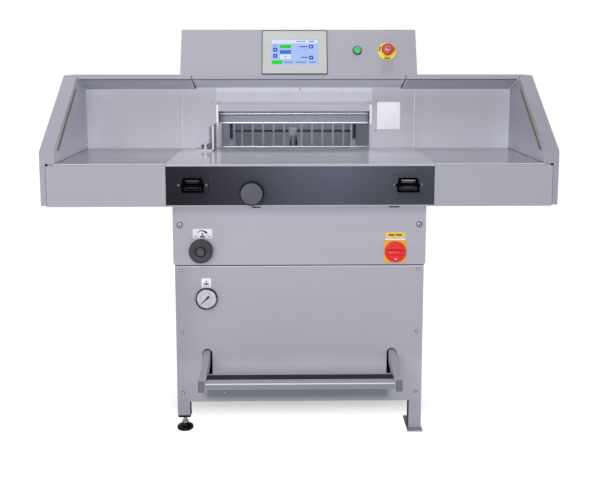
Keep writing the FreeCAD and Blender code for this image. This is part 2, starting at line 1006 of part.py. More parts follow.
# Wings, walls and hoods

def wing(side):
    """A hollow side guard with a slanted slot for the light curtain in its inner face."""
    left = side == "left"
    name = "wing_" + side
    x = ("-half_span", "-wing_inner") if left else ("wing_inner", "half_span")
    outline = [
        (0, "wing_bottom"),
        (0, "wing_knee"),
        ("lip_depth", "hood_top"),
        ("hood_rear", "hood_top"),
        ("hood_rear", "wing_bottom"),
    ]
    shell = prism(name + "_shell", "X", outline, *x)
    rise = "(plate / cos(wing_slope))"
    inner = [
        ("plate", "table_height + plate"),
        ("plate", f"wing_knee + plate * tan(wing_slope) - {rise}"),
        (f"lip_depth + ({rise} - plate) / tan(wing_slope)", "hood_top - plate"),
        ("hood_rear - plate", "hood_top - plate"),
        ("hood_rear - plate", "table_height + plate"),
    ]
    hollow = prism(name + "_hollow", "X", inner, f"{x[0]} + plate", f"{x[1]} - plate")
    seat_x = ("-side_outer", "-wing_inner + 1") if left else ("wing_inner - 1", "side_outer")
    seat = brick(name + "_seat", seat_x, (-1, "wall_depth"), ("wing_bottom - 5", "table_height"))
    slot_left = ("-wing_inner - plate - 1", "-wing_inner + 1")
    slot_x = slot_left if left else ("wing_inner - 1", "wing_inner + plate + 1")
    slot = prism(name + "_slot", "X", curtain_outline("curtain_slot"), *slot_x)
    return cut(name, shell, hollow, seat, slot)


def curtain_outline(width):
    """The slanted strip that the light curtain looks through."""
    return [
        (f"curtain_front - {width} / 2", "curtain_low"),
        (f"curtain_front + {width} / 2", "curtain_low"),
        (f"curtain_rear + {width} / 2", "curtain_high"),
        (f"curtain_rear - {width} / 2", "curtain_high"),
    ]


def light_curtains():
    bars = []
    spans = {
        "left": ("-wing_inner - plate - curtain_bar", "-wing_inner - plate"),
        "right": ("wing_inner + plate", "wing_inner + plate + curtain_bar"),
    }
    for side, x in spans.items():
        bars.append(prism("curtain_" + side, "X", curtain_outline("curtain_bar"), *x))
    return group("light_curtains", *bars)


def wall_panels():
    """The side back walls and the column covers on each side of the throat."""
    y = ("wall_depth", "wall_depth + plate")
    seam = "(half_body + 1)"
    panels = [
        brick("back_wall_left", ("-wing_inner", f"-{seam}"), y, ("table_height", "side_wall_top")),
        brick("back_wall_right", (seam, "wing_inner"), y, ("table_height", "side_wall_top")),
    ]
    for side, sign, inner in (("left", "-", "edge_left"), ("right", "", "edge_right")):
        outline = [
            (f"{sign}half_body", "table_height"),
            (inner, "table_height"),
            (inner, "wall_top"),
            (f"{sign}hood_joint", "wall_top"),
            (f"{sign}hood_joint", "side_wall_top"),
            (f"{sign}half_body", "side_wall_top"),
        ]
        panels.append(prism("column_cover_" + side, "Y", outline, *y))
    return group("wall_panels", *panels)


def knife_cover():
    """The sheet over the throat, with a stepped-back guard strip along its lower edge."""
    sheet_face = brick(
        "knife_cover_face",
        ("edge_left", "edge_right"),
        ("wall_depth", "wall_depth + plate"),
        ("throat_top", "wall_top"),
    )
    strip = brick(
        "knife_cover_strip",
        ("edge_left + strip_width", "edge_right - strip_width"),
        ("wall_depth + plate", "wall_depth + plate + guard_step"),
        ("guard_bottom", "throat_top + 20"),
    )
    return fuse("knife_cover", sheet_face, strip)


def hood(name, x, bottom):
    """A hollow hood: front lip, flat top and an underside that slopes to the wall."""
    slope = f"((hood_lip - {bottom}) / (wall_depth - lip_depth))"
    thick = f"(sheet / cos(atan({slope})))"
    outline = [
        ("lip_depth", "hood_lip"),
        ("lip_depth", "hood_top"),
        ("hood_rear", "hood_top"),
        ("hood_rear", bottom),
        ("wall_depth", bottom),
    ]
    inner = [
        ("lip_depth + sheet", f"hood_lip - sheet * {slope} + {thick}"),
        ("lip_depth + sheet", "hood_top - sheet"),
        ("hood_rear - sheet", "hood_top - sheet"),
        ("hood_rear - sheet", f"{bottom} + sheet"),
        (f"wall_depth - (sheet - {thick}) / {slope}", f"{bottom} + sheet"),
    ]
    shell = prism(name + "_shell", "X", outline, *x)
    hollow = prism(name + "_hollow", "X", inner, f"{x[0]} - 1", f"{x[1]} + 1")
    return cut(name, shell, hollow)


def hood_panels():
    hoods = [
        hood("hood_left", ("-wing_inner", "-hood_joint - hood_gap"), "side_wall_top"),
        hood("hood_centre", ("-hood_joint", "hood_joint"), "wall_top"),
        hood("hood_right", ("hood_joint + hood_gap", "wing_inner"), "side_wall_top"),
    ]
    return group("hood_panels", *hoods)


def panel_point(along, out=0):
    """A point on the head's sloping front: along it from its foot, and out from it."""
    return (
        f"lip_depth + ({along}) * sin(head_tilt) - ({out}) * cos(head_tilt)",
        f"hood_top + ({along}) * cos(head_tilt) + ({out}) * sin(head_tilt)",
    )


HINGES = (("left", "-hinge_spread"), ("right", "hinge_spread"))


def lug_starts():
    """Where each hinge lug begins along X."""
    starts = {}
    for side, centre in HINGES:
        starts[side + "_low"] = f"{centre} - hinge_length / 2 - hinge_lug - seat_gap"
        starts[side + "_high"] = f"{centre} + hinge_length / 2 + seat_gap"
    return starts


def hinge_lugs():
    """Pairs of lugs behind the head that the rear guard's pins turn in."""
    lugs = []
    bores = []
    for name, start in lug_starts().items():
        lugs.append(
            brick(
                f"lug_{name}",
                (start, f"{start} + hinge_lug"),
                ("head_rear - sheet", "hinge_y + hinge_pin * 1.5"),
                ("hinge_z - hinge_pin * 1.5", "head_skirt + lug_rise"),
            )
        )
    for side, centre in HINGES:
        low = f"{centre} - hinge_length / 2 - hinge_lug - 1"
        length = "hinge_length + 2 * hinge_lug + 2"
        bore = rod(f"lug_{side}_bore", "X", (low, "hinge_y", "hinge_z"), "hinge_pin + shaft_gap", length)
        bores.append(bore)
    return lugs, bores


def head_cover():
    """The head casing, open below, with holes for the display and the two buttons."""
    outline = [
        ("lip_depth", "hood_top"),
        ("lip_depth + head_lean", "head_top"),
        ("head_rear", "head_top"),
        ("head_rear", "head_skirt"),
        ("column_rear + sheet", "head_skirt"),
        ("column_rear + sheet", "hood_top"),
    ]
    run = "(sheet / cos(head_tilt))"
    inner = [
        (f"lip_depth + {run} - tan(head_tilt)", "hood_top - 1"),
        (f"lip_depth + {run} + head_lean - sheet * tan(head_tilt)", "head_top - sheet"),
        ("head_rear - sheet", "head_top - sheet"),
        ("head_rear - sheet", "head_skirt - 1"),
        ("column_rear + sheet * 2", "head_skirt - 1"),
        ("column_rear + sheet * 2", "hood_top - 1"),
    ]
    shell = prism("head_shell", "X", outline, "-half_head", "half_head")
    hollow = prism("head_hollow", "X", inner, "-half_head + sheet", "half_head - sheet")
    screen = tilted_slab(
        "display_opening",
        ("screen_left", "screen_left + screen_width"),
        ("screen_low", "screen_low + screen_length"),
        ("-sheet - 2", "1"),
    )
    start = start_bore("start_opening", "-sheet - 2")
    stop = stop_bore("stop_opening", "-sheet - 2")
    lugs, bores = hinge_lugs()
    casing = cut("head_casing", shell, hollow, screen, start, stop)
    return cut("head_cover", fuse("head_with_lugs", casing, *lugs), *bores)


def tilted_slab(label, x, along, out):
    """A slab that lies on the head's sloping front."""
    outline = [
        panel_point(along[0], out[0]),
        panel_point(along[1], out[0]),
        panel_point(along[1], out[1]),
        panel_point(along[0], out[1]),
    ]
    return prism(label, "X", outline, *x)


def start_bore(label, out):
    """The hole for the start button's stem."""
    return panel_rod(label, "start_offset", "start_along", out, "start_cap / 2 + seat_gap", "sheet + 4")


def stop_bore(label, out):
    """The hole for the emergency stop's neck."""
    return panel_rod(label, "stop_offset", "stop_along", out, "stop_neck + seat_gap", "sheet + 4")


def panel_rod(label, x, along, out, radius, length):
    """A cylinder square to the head's sloping front."""
    depth, height = panel_point(along, out)
    return turned(label, (x, depth, height), radius, length, FreeCAD.Vector(1, 0, 0), "90 - head_tilt")


wing_left = wing("left")
wing_right = wing("right")
curtains = light_curtains()
walls = wall_panels()
cover_over_knife = knife_cover()
hoods = hood_panels()
head = head_cover()


# Cutting frame and throat

def cutting_frame():
    """Two columns and a top beam in one casting, with raked bars that back the knife carrier."""
    pieces = []
    bores = []
    y = ("column_front", "column_rear")
    z = ("table_height", "column_top")
    cheek_outline = [
        ("wall_depth + plate", "table_height"),
        ("column_front", "table_height"),
        ("column_front", "column_top"),
        ("hood_rear", "column_top"),
        ("hood_rear", "side_wall_top"),
        ("wall_depth + plate", "side_wall_top"),
    ]
    columns = {
        "left": ("-half_body", "throat_left - strip_width"),
        "right": ("throat_right + strip_width", "half_body"),
    }
    cheeks = {
        "left": ("-half_body", "-half_body + cheek_thick"),
        "right": ("half_body - cheek_thick", "half_body"),
    }
    for side in ("left", "right"):
        pieces.append(brick("column_" + side, columns[side], y, z))
        pieces.append(prism("cheek_" + side, "X", cheek_outline, *cheeks[side]))
        pieces.append(guide_bar(side))
    pieces.append(
        brick(
            "top_beam",
            ("-half_body + beam_inset", "half_body - beam_inset"),
            ("beam_front", "column_rear"),
            ("column_top", "column_top + beam_thick"),
        )
    )
    for name, offset, radius in clamp_rod_places():
        bores.append(
            rod(
                name + "_guide",
                "Z",
                (offset, "clamp_axis", "column_top - 1"),
                f"{radius} + seat_gap",
                "beam_thick + 2",
            )
        )
    return cut("cutting_frame", fuse("frame_casting", *pieces), *bores)


def guide_bar(side):
    """A bar on the column's face, raked like the knife's travel."""
    low = "(table_height + 10)"
    high = "(column_top - 5)"
    rise = f"({high} - {low}) * tan(knife_rake)"
    if side == "left":
        start = "-half_body + cheek_thick"
        outline = [
            (start, low),
            (f"{start} + guide_bar", low),
            (f"{start} + guide_bar + {rise}", high),
            (start, high),
        ]
    else:
        start = "half_body - cheek_thick"
        outline = [
            (f"{start} - guide_bar - {rise}", low),
            (start, low),
            (start, high),
            (f"{start} - guide_bar", high),
        ]
    y = ("blade_face + seat_gap", "column_front")
    return prism("guide_bar_" + side, "Y", outline, *y)


def clamp_rod_places():
    return (
        ("clamp_piston", "throat_centre", "clamp_rod"),
        ("clamp_post_left", "throat_centre - post_spread", "post_radius"),
        ("clamp_post_right", "throat_centre + post_spread", "post_radius"),
    )


def side_guides():
    """The throat's bright edge strips and the low guides that run back along the table."""
    plates = []
    places_x = {
        "left": ("edge_left", "edge_left + strip_width"),
        "right": ("edge_right - strip_width", "edge_right"),
    }
    guides_x = {
        "left": ("throat_left - strip_width", "throat_left"),
        "right": ("throat_right", "throat_right + strip_width"),
    }
    for side in ("left", "right"):
        strip_y = ("wall_depth", "wall_depth + strip_depth")
        strip_z = ("table_height", "table_height + strip_height")
        plates.append(brick("throat_strip_" + side, places_x[side], strip_y, strip_z))
        guide_y = ("column_front", "guide_rear")
        guide_z = ("table_height", "table_height + guide_height")
        plates.append(brick("side_guide_" + side, guides_x[side], guide_y, guide_z))
    return group("side_guides", *plates)


def clamp_beam():
    """The clamp: a bevelled foot under a deep web, slotted behind for the gauge fingers."""
    low = "clamp_bottom"
    foot_top = "clamp_bottom + clamp_foot_height"
    web = "clamp_front + clamp_web_set"
    outline = [
        ("clamp_front + clamp_bevel", low),
        ("clamp_rear", low),
        ("clamp_rear", "clamp_top"),
        (web, "clamp_top"),
        (web, foot_top),
        ("clamp_front + clamp_bevel", foot_top),
        ("clamp_front", f"{foot_top} - clamp_bevel"),
        ("clamp_front", f"{low} + clamp_bevel"),
    ]
    x = ("throat_left + clamp_gap", "throat_right - clamp_gap")
    bar = prism("clamp_bar", "X", outline, *x)
    slots = []
    for index, offset in enumerate(finger_offsets()):
        slots.append(
            brick(
                f"comb_slot_{index}",
                (f"slot_x + {offset} - comb_slot / 2", f"slot_x + {offset} + comb_slot / 2"),
                ("clamp_rear - comb_depth", "clamp_rear + 1"),
                ("clamp_bottom - 1", "clamp_bottom + comb_height"),
            )
        )
    slots.append(
        brick(
            "bracket_notch",
            ("slot_x - bracket_width / 2 - bracket_gap", "slot_x + bracket_width / 2 + bracket_gap"),
            ("clamp_rear - comb_depth", "clamp_rear + 1"),
            ("clamp_bottom - 1", "clamp_bottom + bracket_height + bracket_gap * 2"),
        )
    )
    return cut("clamp_beam", bar, *slots)


def finger_offsets():
    """Finger places on both sides of the gauge slot."""
    steps = [f"(finger_first + {step} * finger_pitch)" for step in range(int(value("finger_count")))]
    steps.append("finger_end")
    return [f"(-{step})" for step in reversed(steps)] + steps


def clamp_rods():
    """The piston rod and the two posts that keep the clamp level."""
    tops = {"clamp_piston": "clamp_rod_top"}
    bars = []
    for name, offset, radius in clamp_rod_places():
        top = tops.get(name, "post_top")
        bars.append(rod(name, "Z", (offset, "clamp_axis", "clamp_top"), radius, f"{top} - clamp_top"))
    return group("clamp_rods", *bars)


def hydraulic_cylinders():
    """The clamp cylinder on the top beam and the raked knife cylinder under the table."""
    base = ("throat_centre", "clamp_axis", "column_top + beam_thick")
    body = rod("clamp_barrel", "Z", base, "clamp_cylinder", "clamp_cylinder_top - column_top - beam_thick")
    bore = rod(
        "clamp_bore",
        "Z",
        ("throat_centre", "clamp_axis", "column_top"),
        "clamp_rod + seat_gap",
        "clamp_cylinder_top - column_top - cylinder_end",
    )
    clamp_tube = cut("clamp_cylinder_tube", body, bore)
    barrel = raked("knife_barrel", "cylinder_start", "cylinder_length", "cylinder_radius")
    centre = knife_point("(rod_top - table_under + mount_height / 2) / cos(knife_rake)")
    mount = brick(
        "knife_mount",
        (f"{centre[0]} - mount_length / 2", f"{centre[0]} + mount_length / 2"),
        ("carrier_axis - mount_width / 2", "carrier_axis + mount_width / 2"),
        ("table_under - mount_height", "table_under"),
    )
    neck = raked("knife_neck", "180", "cylinder_start - 170", "cylinder_radius")
    above = brick(
        "above_bed",
        (0, "half_body"),
        ("carrier_axis - mount_width", "carrier_axis + mount_width"),
        ("table_under", "rod_top"),
    )
    bore_length = "cylinder_start + cylinder_length - 112"
    tube_bore = raked("knife_bore", "100", bore_length, "knife_rod + seat_gap")
    solid = fuse("knife_cylinder_solid", barrel, mount, neck)
    knife_tube = cut("knife_cylinder_tube", solid, above, tube_bore)
    return group("hydraulic_cylinders", clamp_tube, knife_tube)


def knife_carrier():
    """The steel bar that carries the blade, with a hole for the rod's end."""
    bar = brick(
        "carrier_bar",
        ("carrier_left", "carrier_left + carrier_length"),
        ("carrier_front", "blade_face"),
        ("carrier_low", "carrier_high"),
    )
    hole = raked("carrier_hole", "-60", "140", "knife_rod")
    return cut("knife_carrier", bar, hole)


def knife_blade():
    """The blade, flat behind and ground to an edge from the front."""
    outline = [
        ("blade_rear", "blade_low"),
        ("blade_rear", "blade_high"),
        ("blade_face", "blade_high"),
        ("blade_face", "blade_low + bevel_height"),
        ("blade_face + bevel_depth", "blade_low"),
    ]
    return prism("knife_blade", "X", outline, "blade_left", "blade_left + blade_length")


frame = cutting_frame()
guides = side_guides()
clamp = clamp_beam()
posts = clamp_rods()
cylinders = hydraulic_cylinders()
carrier = knife_carrier()
blade = knife_blade()
knife_rod = raked("knife_piston_rod", "-30", "rod_length + 30", "knife_rod")


# Back gauge and its drive

def back_gauge():
    """The gauge plate with its row of fingers."""
    x = ("slot_x - gauge_width / 2", "slot_x + gauge_width / 2")
    low = "table_height + 1"
    pieces = [
        brick("gauge_back", x, ("plate_face", "plate_face + gauge_plate"), (low, f"{low} + gauge_height"))
    ]
    for index, offset in enumerate(finger_offsets()):
        pieces.append(
            brick(
                f"finger_{index}",
                (f"slot_x + {offset} - finger_width / 2", f"slot_x + {offset} + finger_width / 2"),
                ("gauge_face", "plate_face"),
                (low, f"{low} + finger_height"),
            )
        )
    return fuse("back_gauge", *pieces)


def gauge_carriage():
    """The nut block in the table slot, with the bracket that carries the gauge."""
    neck = brick(
        "carriage_neck",
        ("slot_x - carriage_width / 2", "slot_x + carriage_width / 2"),
        ("carriage_front", "carriage_rear"),
        ("carriage_low", "table_height + 1"),
    )
    bracket = brick(
        "carriage_bracket",
        ("slot_x - bracket_width / 2", "slot_x + bracket_width / 2"),
        ("carriage_front", "plate_face"),
        ("table_height + 1", "table_height + 1 + bracket_height"),
    )
    bore = rod(
        "carriage_bore",
        "Y",
        ("slot_x", "carriage_front - 1", "screw_z"),
        "screw_radius + shaft_gap",
        "carriage_rear - carriage_front + 2",
    )
    return cut("gauge_carriage", fuse("carriage_solid", neck, bracket), bore)


gauge = back_gauge()
carriage = gauge_carriage()
screw = rod(
    "gauge_leadscrew",
    "Y",
    ("slot_x", "slot_front - 11", "screw_z"),
    "screw_radius",
    "motor_front - slot_front + 11 - seat_gap",
)
motor = brick(
    "gauge_motor",
    ("slot_x - motor_size / 2", "slot_x + motor_size / 2"),
    ("motor_front", "motor_front + motor_length"),
    ("screw_z - motor_size / 2", "screw_z + motor_size / 2"),
)


# Rear guard

def rear_table_cover():
    """The clear guard over the rear table, hung on two hinge pins behind the head."""
    half = "guard_width / 2"
    outline = [
        ("guard_front", "table_height + seat_gap"),
        ("guard_front", "guard_hinge_height"),
        ("guard_rear", "guard_low"),
        ("guard_rear", "table_height + seat_gap"),
    ]
    inner = [
        ("guard_front - 1", "table_height"),
        ("guard_front - 1", "guard_hinge_height - guard_sheet"),
        ("guard_rear - guard_sheet", "guard_low - guard_sheet"),
        ("guard_rear - guard_sheet", "table_height"),
    ]
    shell = prism("guard_shell", "X", outline, f"-{half}", half)
    hollow = prism("guard_hollow", "X", inner, f"-{half} + guard_sheet", f"{half} - guard_sheet")
    notches = []
    for name, start in lug_starts().items():
        notch_x = (f"{start} - 2", f"{start} + hinge_lug + 2")
        notch_z = ("guard_hinge_height - 20", "guard_hinge_height + 1")
        notch_y = ("guard_front - 1", "guard_front + lug_notch")
        notches.append(brick(f"notch_{name}", notch_x, notch_y, notch_z))
    pieces = [cut("guard_sheeting", shell, hollow, *notches)]
    for side, centre in HINGES:
        x = (f"{centre} - hinge_length / 2", f"{centre} + hinge_length / 2")
        pieces.append(
            brick(
                f"hinge_leaf_{side}",
                x,
                ("hinge_y - hinge_pin", "guard_front + 40"),
                ("guard_hinge_height - guard_sheet", "guard_hinge_height"),
            )
        )
        pin_start = f"{centre} - hinge_length / 2 - hinge_lug"
        pin_length = "hinge_length + 2 * hinge_lug"
        pieces.append(
            rod(f"hinge_pin_{side}", "X", (pin_start, "hinge_y", "hinge_z"), "hinge_pin", pin_length)
        )
    return fuse("rear_table_cover", *pieces)


rear_guard = rear_table_cover()


# Hydraulic unit

def oil_tank():
    """The tank in the drip tray, closed but for its filler neck."""
    left = "throat_centre - tank_width / 2"
    rear = "tank_front + tank_depth"
    right = f"{left} + tank_width"
    outer = brick("tank_outer", (left, right), ("tank_front", rear), ("tray_top", "tank_top"))
    inner = brick(
        "tank_inner",
        (f"{left} + plate", f"{right} - plate"),
        ("tank_front + plate", f"{rear} - plate"),
        ("tray_top + plate", "tank_top - plate"),
    )
    filler = rod(
        "tank_filler",
        "Z",
        (f"{right} - filler_set", "tank_front + filler_set", "tank_top - plate - 1"),
        "filler_radius",
        "plate + 2",
    )
    return cut("oil_tank", outer, inner, filler)


def pump_motor():
    """The upright motor and its pump flange on the tank lid."""
    at = ("motor_offset", "tank_front + tank_depth / 2")
    foot = "tank_top + motor_flange"
    crown = f"{foot} + motor_height"
    flange = rod("motor_flange", "Z", at + ("tank_top",), "motor_radius + motor_flange", "motor_flange")
    shell = rod("motor_shell", "Z", at + (foot,), "motor_radius", "motor_height")
    cowl_top = "motor_radius - motor_flange"
    cowl = cone("motor_cowl", "Z", at + (crown,), "motor_radius", cowl_top, "cowl_height")
    box = brick(
        "motor_box",
        (f"{at[0]} + motor_radius - 10", f"{at[0]} + motor_radius + terminal_box / 2"),
        (f"{at[1]} - terminal_box / 2", f"{at[1]} + terminal_box / 2"),
        (f"{foot} + terminal_box", f"{foot} + terminal_box * 2"),
    )
    return fuse("pump_motor", flange, shell, cowl, box)


def valve_block():
    """The valve block on the left leg, bored for the pressure knob's shaft."""
    x = ("-leg_inner - valve_lap", "-leg_inner - valve_lap + valve_width")
    y = ("leg_front + leg_size", "leg_front + leg_size + valve_depth")
    z = ("knob_height - valve_height / 2", "knob_height + valve_height / 2")
    body = brick("valve_body", x, y, z)
    nose = rod(
        "valve_nose",
        "Y",
        ("knob_offset", "leg_front + 4", "knob_height"),
        "knob_shaft + 7",
        "leg_size",
    )
    bore = rod(
        "valve_bore",
        "Y",
        ("knob_offset", "leg_front", "knob_height"),
        "knob_shaft + shaft_gap",
        "leg_size + 30",
    )
    coil = rod(
        "valve_coil",
        "Z",
        ("-leg_inner + valve_width / 2", f"{y[0]} + valve_depth / 2", z[1]),
        "coil_radius",
        "coil_height",
    )
    return cut("valve_block", fuse("valve_solid", body, nose, coil), bore)


tank = oil_tank()
pump = pump_motor()
valve = valve_block()


# Pedal

def pedal_frame():
    """Two rising arms on one shaft."""
    centre_rear = "pedal_pivot + bearing_radius"
    top = "arm_low + arm_height"
    outline = [
        (0, "arm_low"),
        (centre_rear, f"arm_low + ({centre_rear}) * arm_lean"),
        (centre_rear, f"{top} + ({centre_rear}) * arm_lean"),
        ("tread_depth", f"{top} + tread_depth * arm_lean"),
        (0, top),
    ]
    pieces = []
    for side, sign in (("left", "-"), ("right", "")):
        centre = f"{sign}arm_offset"
        x = (f"{centre} - arm_width / 2", f"{centre} + arm_width / 2")
        pieces.append(prism("pedal_arm_" + side, "X", outline, *x))
    pieces.append(
        rod(
            "pedal_axle",
            "X",
            ("-leg_inner + 1", "pedal_pivot", "pivot_z"),
            "pedal_shaft",
            "(leg_inner - 1) * 2",
        )
    )
    return fuse("pedal_frame", *pieces)


def pedal_tread():
    """The aluminium tread between the arms, rebated for the rubber and ribbed along its lip."""
    inner = "(arm_offset - arm_width / 2)"
    outline = [
        (0, "tread_low"),
        ("tread_depth", "tread_low"),
        ("tread_depth", "tread_high"),
        ("tread_depth - 3", "tread_high"),
        ("tread_depth - 3", "tread_high - rubber_sink"),
        ("rubber_front", "tread_high - rubber_sink"),
        ("rubber_front", "tread_high"),
        ("rubber_front / 2 + 2", "tread_high"),
        ("rubber_front / 2", "tread_high - 2"),
        ("rubber_front / 2 - 2", "tread_high"),
        (0, "tread_high"),
    ]
    return prism("pedal_tread", "X", outline, f"-{inner}", inner)


frame_of_pedal = pedal_frame()
tread = pedal_tread()
rubber = brick(
    "pedal_rubber",
    ("-(arm_offset - arm_width / 2)", "arm_offset - arm_width / 2"),
    ("rubber_front", "tread_depth - 3"),
    ("tread_high - rubber_sink", "tread_high + rubber_proud"),
)


# Front controls

def pressure_knob():
    at = ("knob_offset", "upper_front - seat_gap", "knob_height")
    front_face = (at[0], f"{at[1]} - knob_length", at[2])
    face_radius = "knob_radius - knob_chamfer / 2"
    wheel = cone("knob_disc", "Y", front_face, face_radius, "knob_radius", "knob_chamfer")
    rim_start = (at[0], f"{at[1]} - knob_length + knob_chamfer", at[2])
    rim = rod("knob_rim", "Y", rim_start, "knob_radius", "knob_length - knob_chamfer")
    hub = rod("knob_centre", "Y", (at[0], f"{at[1]} - knob_length - 2", at[2]), "knob_hub", "knob_length")
    shaft = rod("knob_spindle", "Y", at, "knob_shaft", "leg_front + leg_size + 20 - upper_front")
    return fuse("pressure_knob", wheel, rim, hub, shaft)


def pressure_gauge():
    """The gauge case with its dial face sunk in the bezel."""
    at = ("gauge_offset", "body_front - bezel_proud", "gauge_centre")
    bezel = rod("gauge_bezel", "Y", at, "bezel_radius", "bezel_proud")
    case = rod("gauge_case", "Y", at, "case_radius - seat_gap", "bezel_proud + case_length")
    recess = rod("gauge_recess", "Y", (at[0], f"{at[1]} - 1", at[2]), "dial_radius", "dial_sink + 1")
    pivot = rod("gauge_pivot", "Y", (at[0], f"{at[1]} + 2", at[2]), "needle_hub - 1", "dial_sink")
    return fuse("pressure_gauge", cut("gauge_shell", fuse("gauge_solid", bezel, case), recess), pivot)


def gauge_needle():
    """The needle, resting at its lower left stop."""
    y = "body_front - bezel_proud + 3"
    at = ("gauge_offset", y, "gauge_centre")
    arm = doc.addObject("Part::Box", "needle_arm")
    arm.Placement = FreeCAD.Placement(FreeCAD.Vector(), FreeCAD.Rotation(FreeCAD.Vector(0, 1, 0), 45))
    bind(arm, Length="needle_width", Width="1.2", Height="needle_length + needle_tail")
    place(
        arm,
        "gauge_offset - (needle_width / 2 + needle_length) * sin(45)",
        f"({y})",
        "gauge_centre + (needle_width / 2 - needle_length) * sin(45)",
    )
    hub = rod("needle_boss", "Y", at, "needle_hub + 1", "1.2")
    hole = rod("needle_hole", "Y", (at[0], f"{y} - 1", at[2]), "needle_hub - 1 + shaft_gap", "4")
    return cut("gauge_needle", fuse("needle_solid", arm, hub), hole)


def switch_plate():
    """The main switch's square plate and its body behind the cover."""
    half = "switch_plate / 2"
    x = (f"switch_offset - {half}", f"switch_offset + {half}")
    z = (f"switch_height - {half}", f"switch_height + {half}")
    plate_part = brick("switch_square", x, ("upper_front - plate", "upper_front"), z)
    inner = "switch_body / 2"
    body = brick(
        "switch_case",
        (f"switch_offset - {inner}", f"switch_offset + {inner}"),
        ("upper_front", "upper_front + switch_body_length"),
        (f"switch_height - {inner}", f"switch_height + {inner}"),
    )
    hole = rod(
        "switch_hole",
        "Y",
        ("switch_offset", "upper_front - plate - 1", "switch_height"),
        "5 + shaft_gap",
        "switch_body_length",
    )
    return cut("switch_plate", fuse("switch_solid", plate_part, body), hole)


def switch_knob():
    """The red rotary knob with a grip bar across its face, on its spindle."""
    face = "upper_front - plate - seat_gap"
    at = ("switch_offset", f"{face} - switch_proud + grip_proud", "switch_height")
    disc = rod("switch_disc", "Y", at, "switch_knob", "switch_proud - grip_proud")
    grip = brick(
        "switch_grip",
        ("switch_offset - switch_knob * 0.8", "switch_offset + switch_knob * 0.8"),
        (f"{face} - switch_proud", f"{face} - switch_proud + grip_proud"),
        ("switch_height - grip_width / 2", "switch_height + grip_width / 2"),
    )
    spindle = rod("switch_spindle", "Y", ("switch_offset", face, "switch_height"), "5", "30")
    return fuse("switch_knob", disc, grip, spindle)


def trapezoid(centre, low_width, high_width, height, middle):
    """A four-sided outline, wider below than above."""
    return [
        (f"{centre} - {low_width} / 2", f"{middle} - {height} / 2"),
        (f"{centre} + {low_width} / 2", f"{middle} - {height} / 2"),
        (f"{centre} + {high_width} / 2", f"{middle} + {height} / 2"),
        (f"{centre} - {high_width} / 2", f"{middle} + {height} / 2"),
    ]


def button_shrouds():
    """The two guards that keep the hand buttons from being pressed by accident."""
    shrouds = []
    for side, sign in (("left", "-"), ("right", "")):
        name = "shroud_" + side
        centre = f"{sign}button_offset"
        base = brick(
            name + "_base",
            (f"{centre} - button_base_width / 2", f"{centre} + button_base_width / 2"),
            ("-plate", 0),
            ("button_height - button_base_height / 2", "button_height + button_base_height / 2"),
        )
        outer = prism(
            name + "_rim",
            "Y",
            trapezoid(centre, "shroud_width", "shroud_narrow", "shroud_height", "button_height"),
            "-shroud_proud",
            "shroud_depth",
        )
        wall = "(2 * shroud_wall)"
        inner = prism(
            name + "_mouth",
            "Y",
            trapezoid(
                centre,
                f"(shroud_width - {wall})",
                f"(shroud_narrow - {wall})",
                f"(shroud_height - {wall})",
                "button_height",
            ),
            "-shroud_proud - 1",
            "shroud_depth - 4",
        )
        stem_hole = rod(
            name + "_hole",
            "Y",
            (centre, "0", "button_height"),
            "button_stem + seat_gap",
            "shroud_depth + 1",
        )
        shrouds.append(cut(name, fuse(name + "_solid", base, outer), inner, stem_hole))
    return group("button_shrouds", *shrouds)


def hand_button(side):
    """A push button that sits back inside its shroud."""
    sign = "-" if side == "left" else ""
    centre = f"{sign}button_offset"
    front_face = "hand_button_sink - shroud_proud"
    name = f"hand_button_{side}"
    cap = brick(
        f"{name}_cap",
        (f"{centre} - hand_button_width / 2", f"{centre} + hand_button_width / 2"),
        (front_face, f"{front_face} + hand_button_length"),
        ("button_height - hand_button_height / 2", "button_height + hand_button_height / 2"),
    )
    rounded = softened(f"{name}_rounded", cap, "1.5", lambda edge: edge.BoundBox.YLength < 0.01)
    stem_start = f"{front_face} + hand_button_length"
    length = f"shroud_depth + 2 - ({stem_start})"
    stem = rod(f"{name}_stem", "Y", (centre, stem_start, "button_height"), "button_stem", length)
    return fuse(name, rounded, stem)


def fine_dial():
    """The round setting dial on the fascia, with a raised rim and a spindle."""
    at = ("dial_offset", "-wheel_proud", "dial_height")
    wheel = rod("dial_wheel", "Y", at, "wheel_radius", "wheel_proud - seat_gap")
    face = rod("dial_face", "Y", (at[0], "-wheel_proud - 1", at[2]), "wheel_radius - wheel_rim", "2.5")
    spindle = rod("dial_spindle", "Y", (at[0], "-1", at[2]), "wheel_shaft", "fascia_thick + plate + 12")
    return fuse("fine_dial", cut("dial_disc", wheel, face), spindle)


knob = pressure_knob()
pressure_dial = pressure_gauge()
needle = gauge_needle()
switch_square = switch_plate()
switch_turn = switch_knob()
shrouds = button_shrouds()
button_left = hand_button("left")
button_right = hand_button("right")
dial = fine_dial()


# Head controls

def display_bezel():
    """The display's frame on the sloping front."""
    slab = tilted_slab(
        "display_slab",
        ("display_left", "display_left + display_width"),
        ("display_low", "display_low + display_length"),
        ("0", "display_thick"),
    )
    window = tilted_slab(
        "display_window",
        ("screen_left", "screen_left + screen_width"),
        ("screen_low", "screen_low + screen_length"),
        ("-1", "display_thick + 1"),
    )
    return cut("display_bezel", slab, window)


def start_ring():
    ring = panel_rod("start_ring_disc", "start_offset", "start_along", "0", "start_ring", "4")
    hole = panel_rod("start_ring_hole", "start_offset", "start_along", "-1", "start_cap + seat_gap", "6")
    floor = panel_rod("start_ring_floor", "start_offset", "start_along", "0", "start_ring", "1")
    stem_hole = start_bore("start_stem_hole", "-1")
    return fuse("start_bezel", cut("start_wall", ring, hole), cut("start_floor", floor, stem_hole))


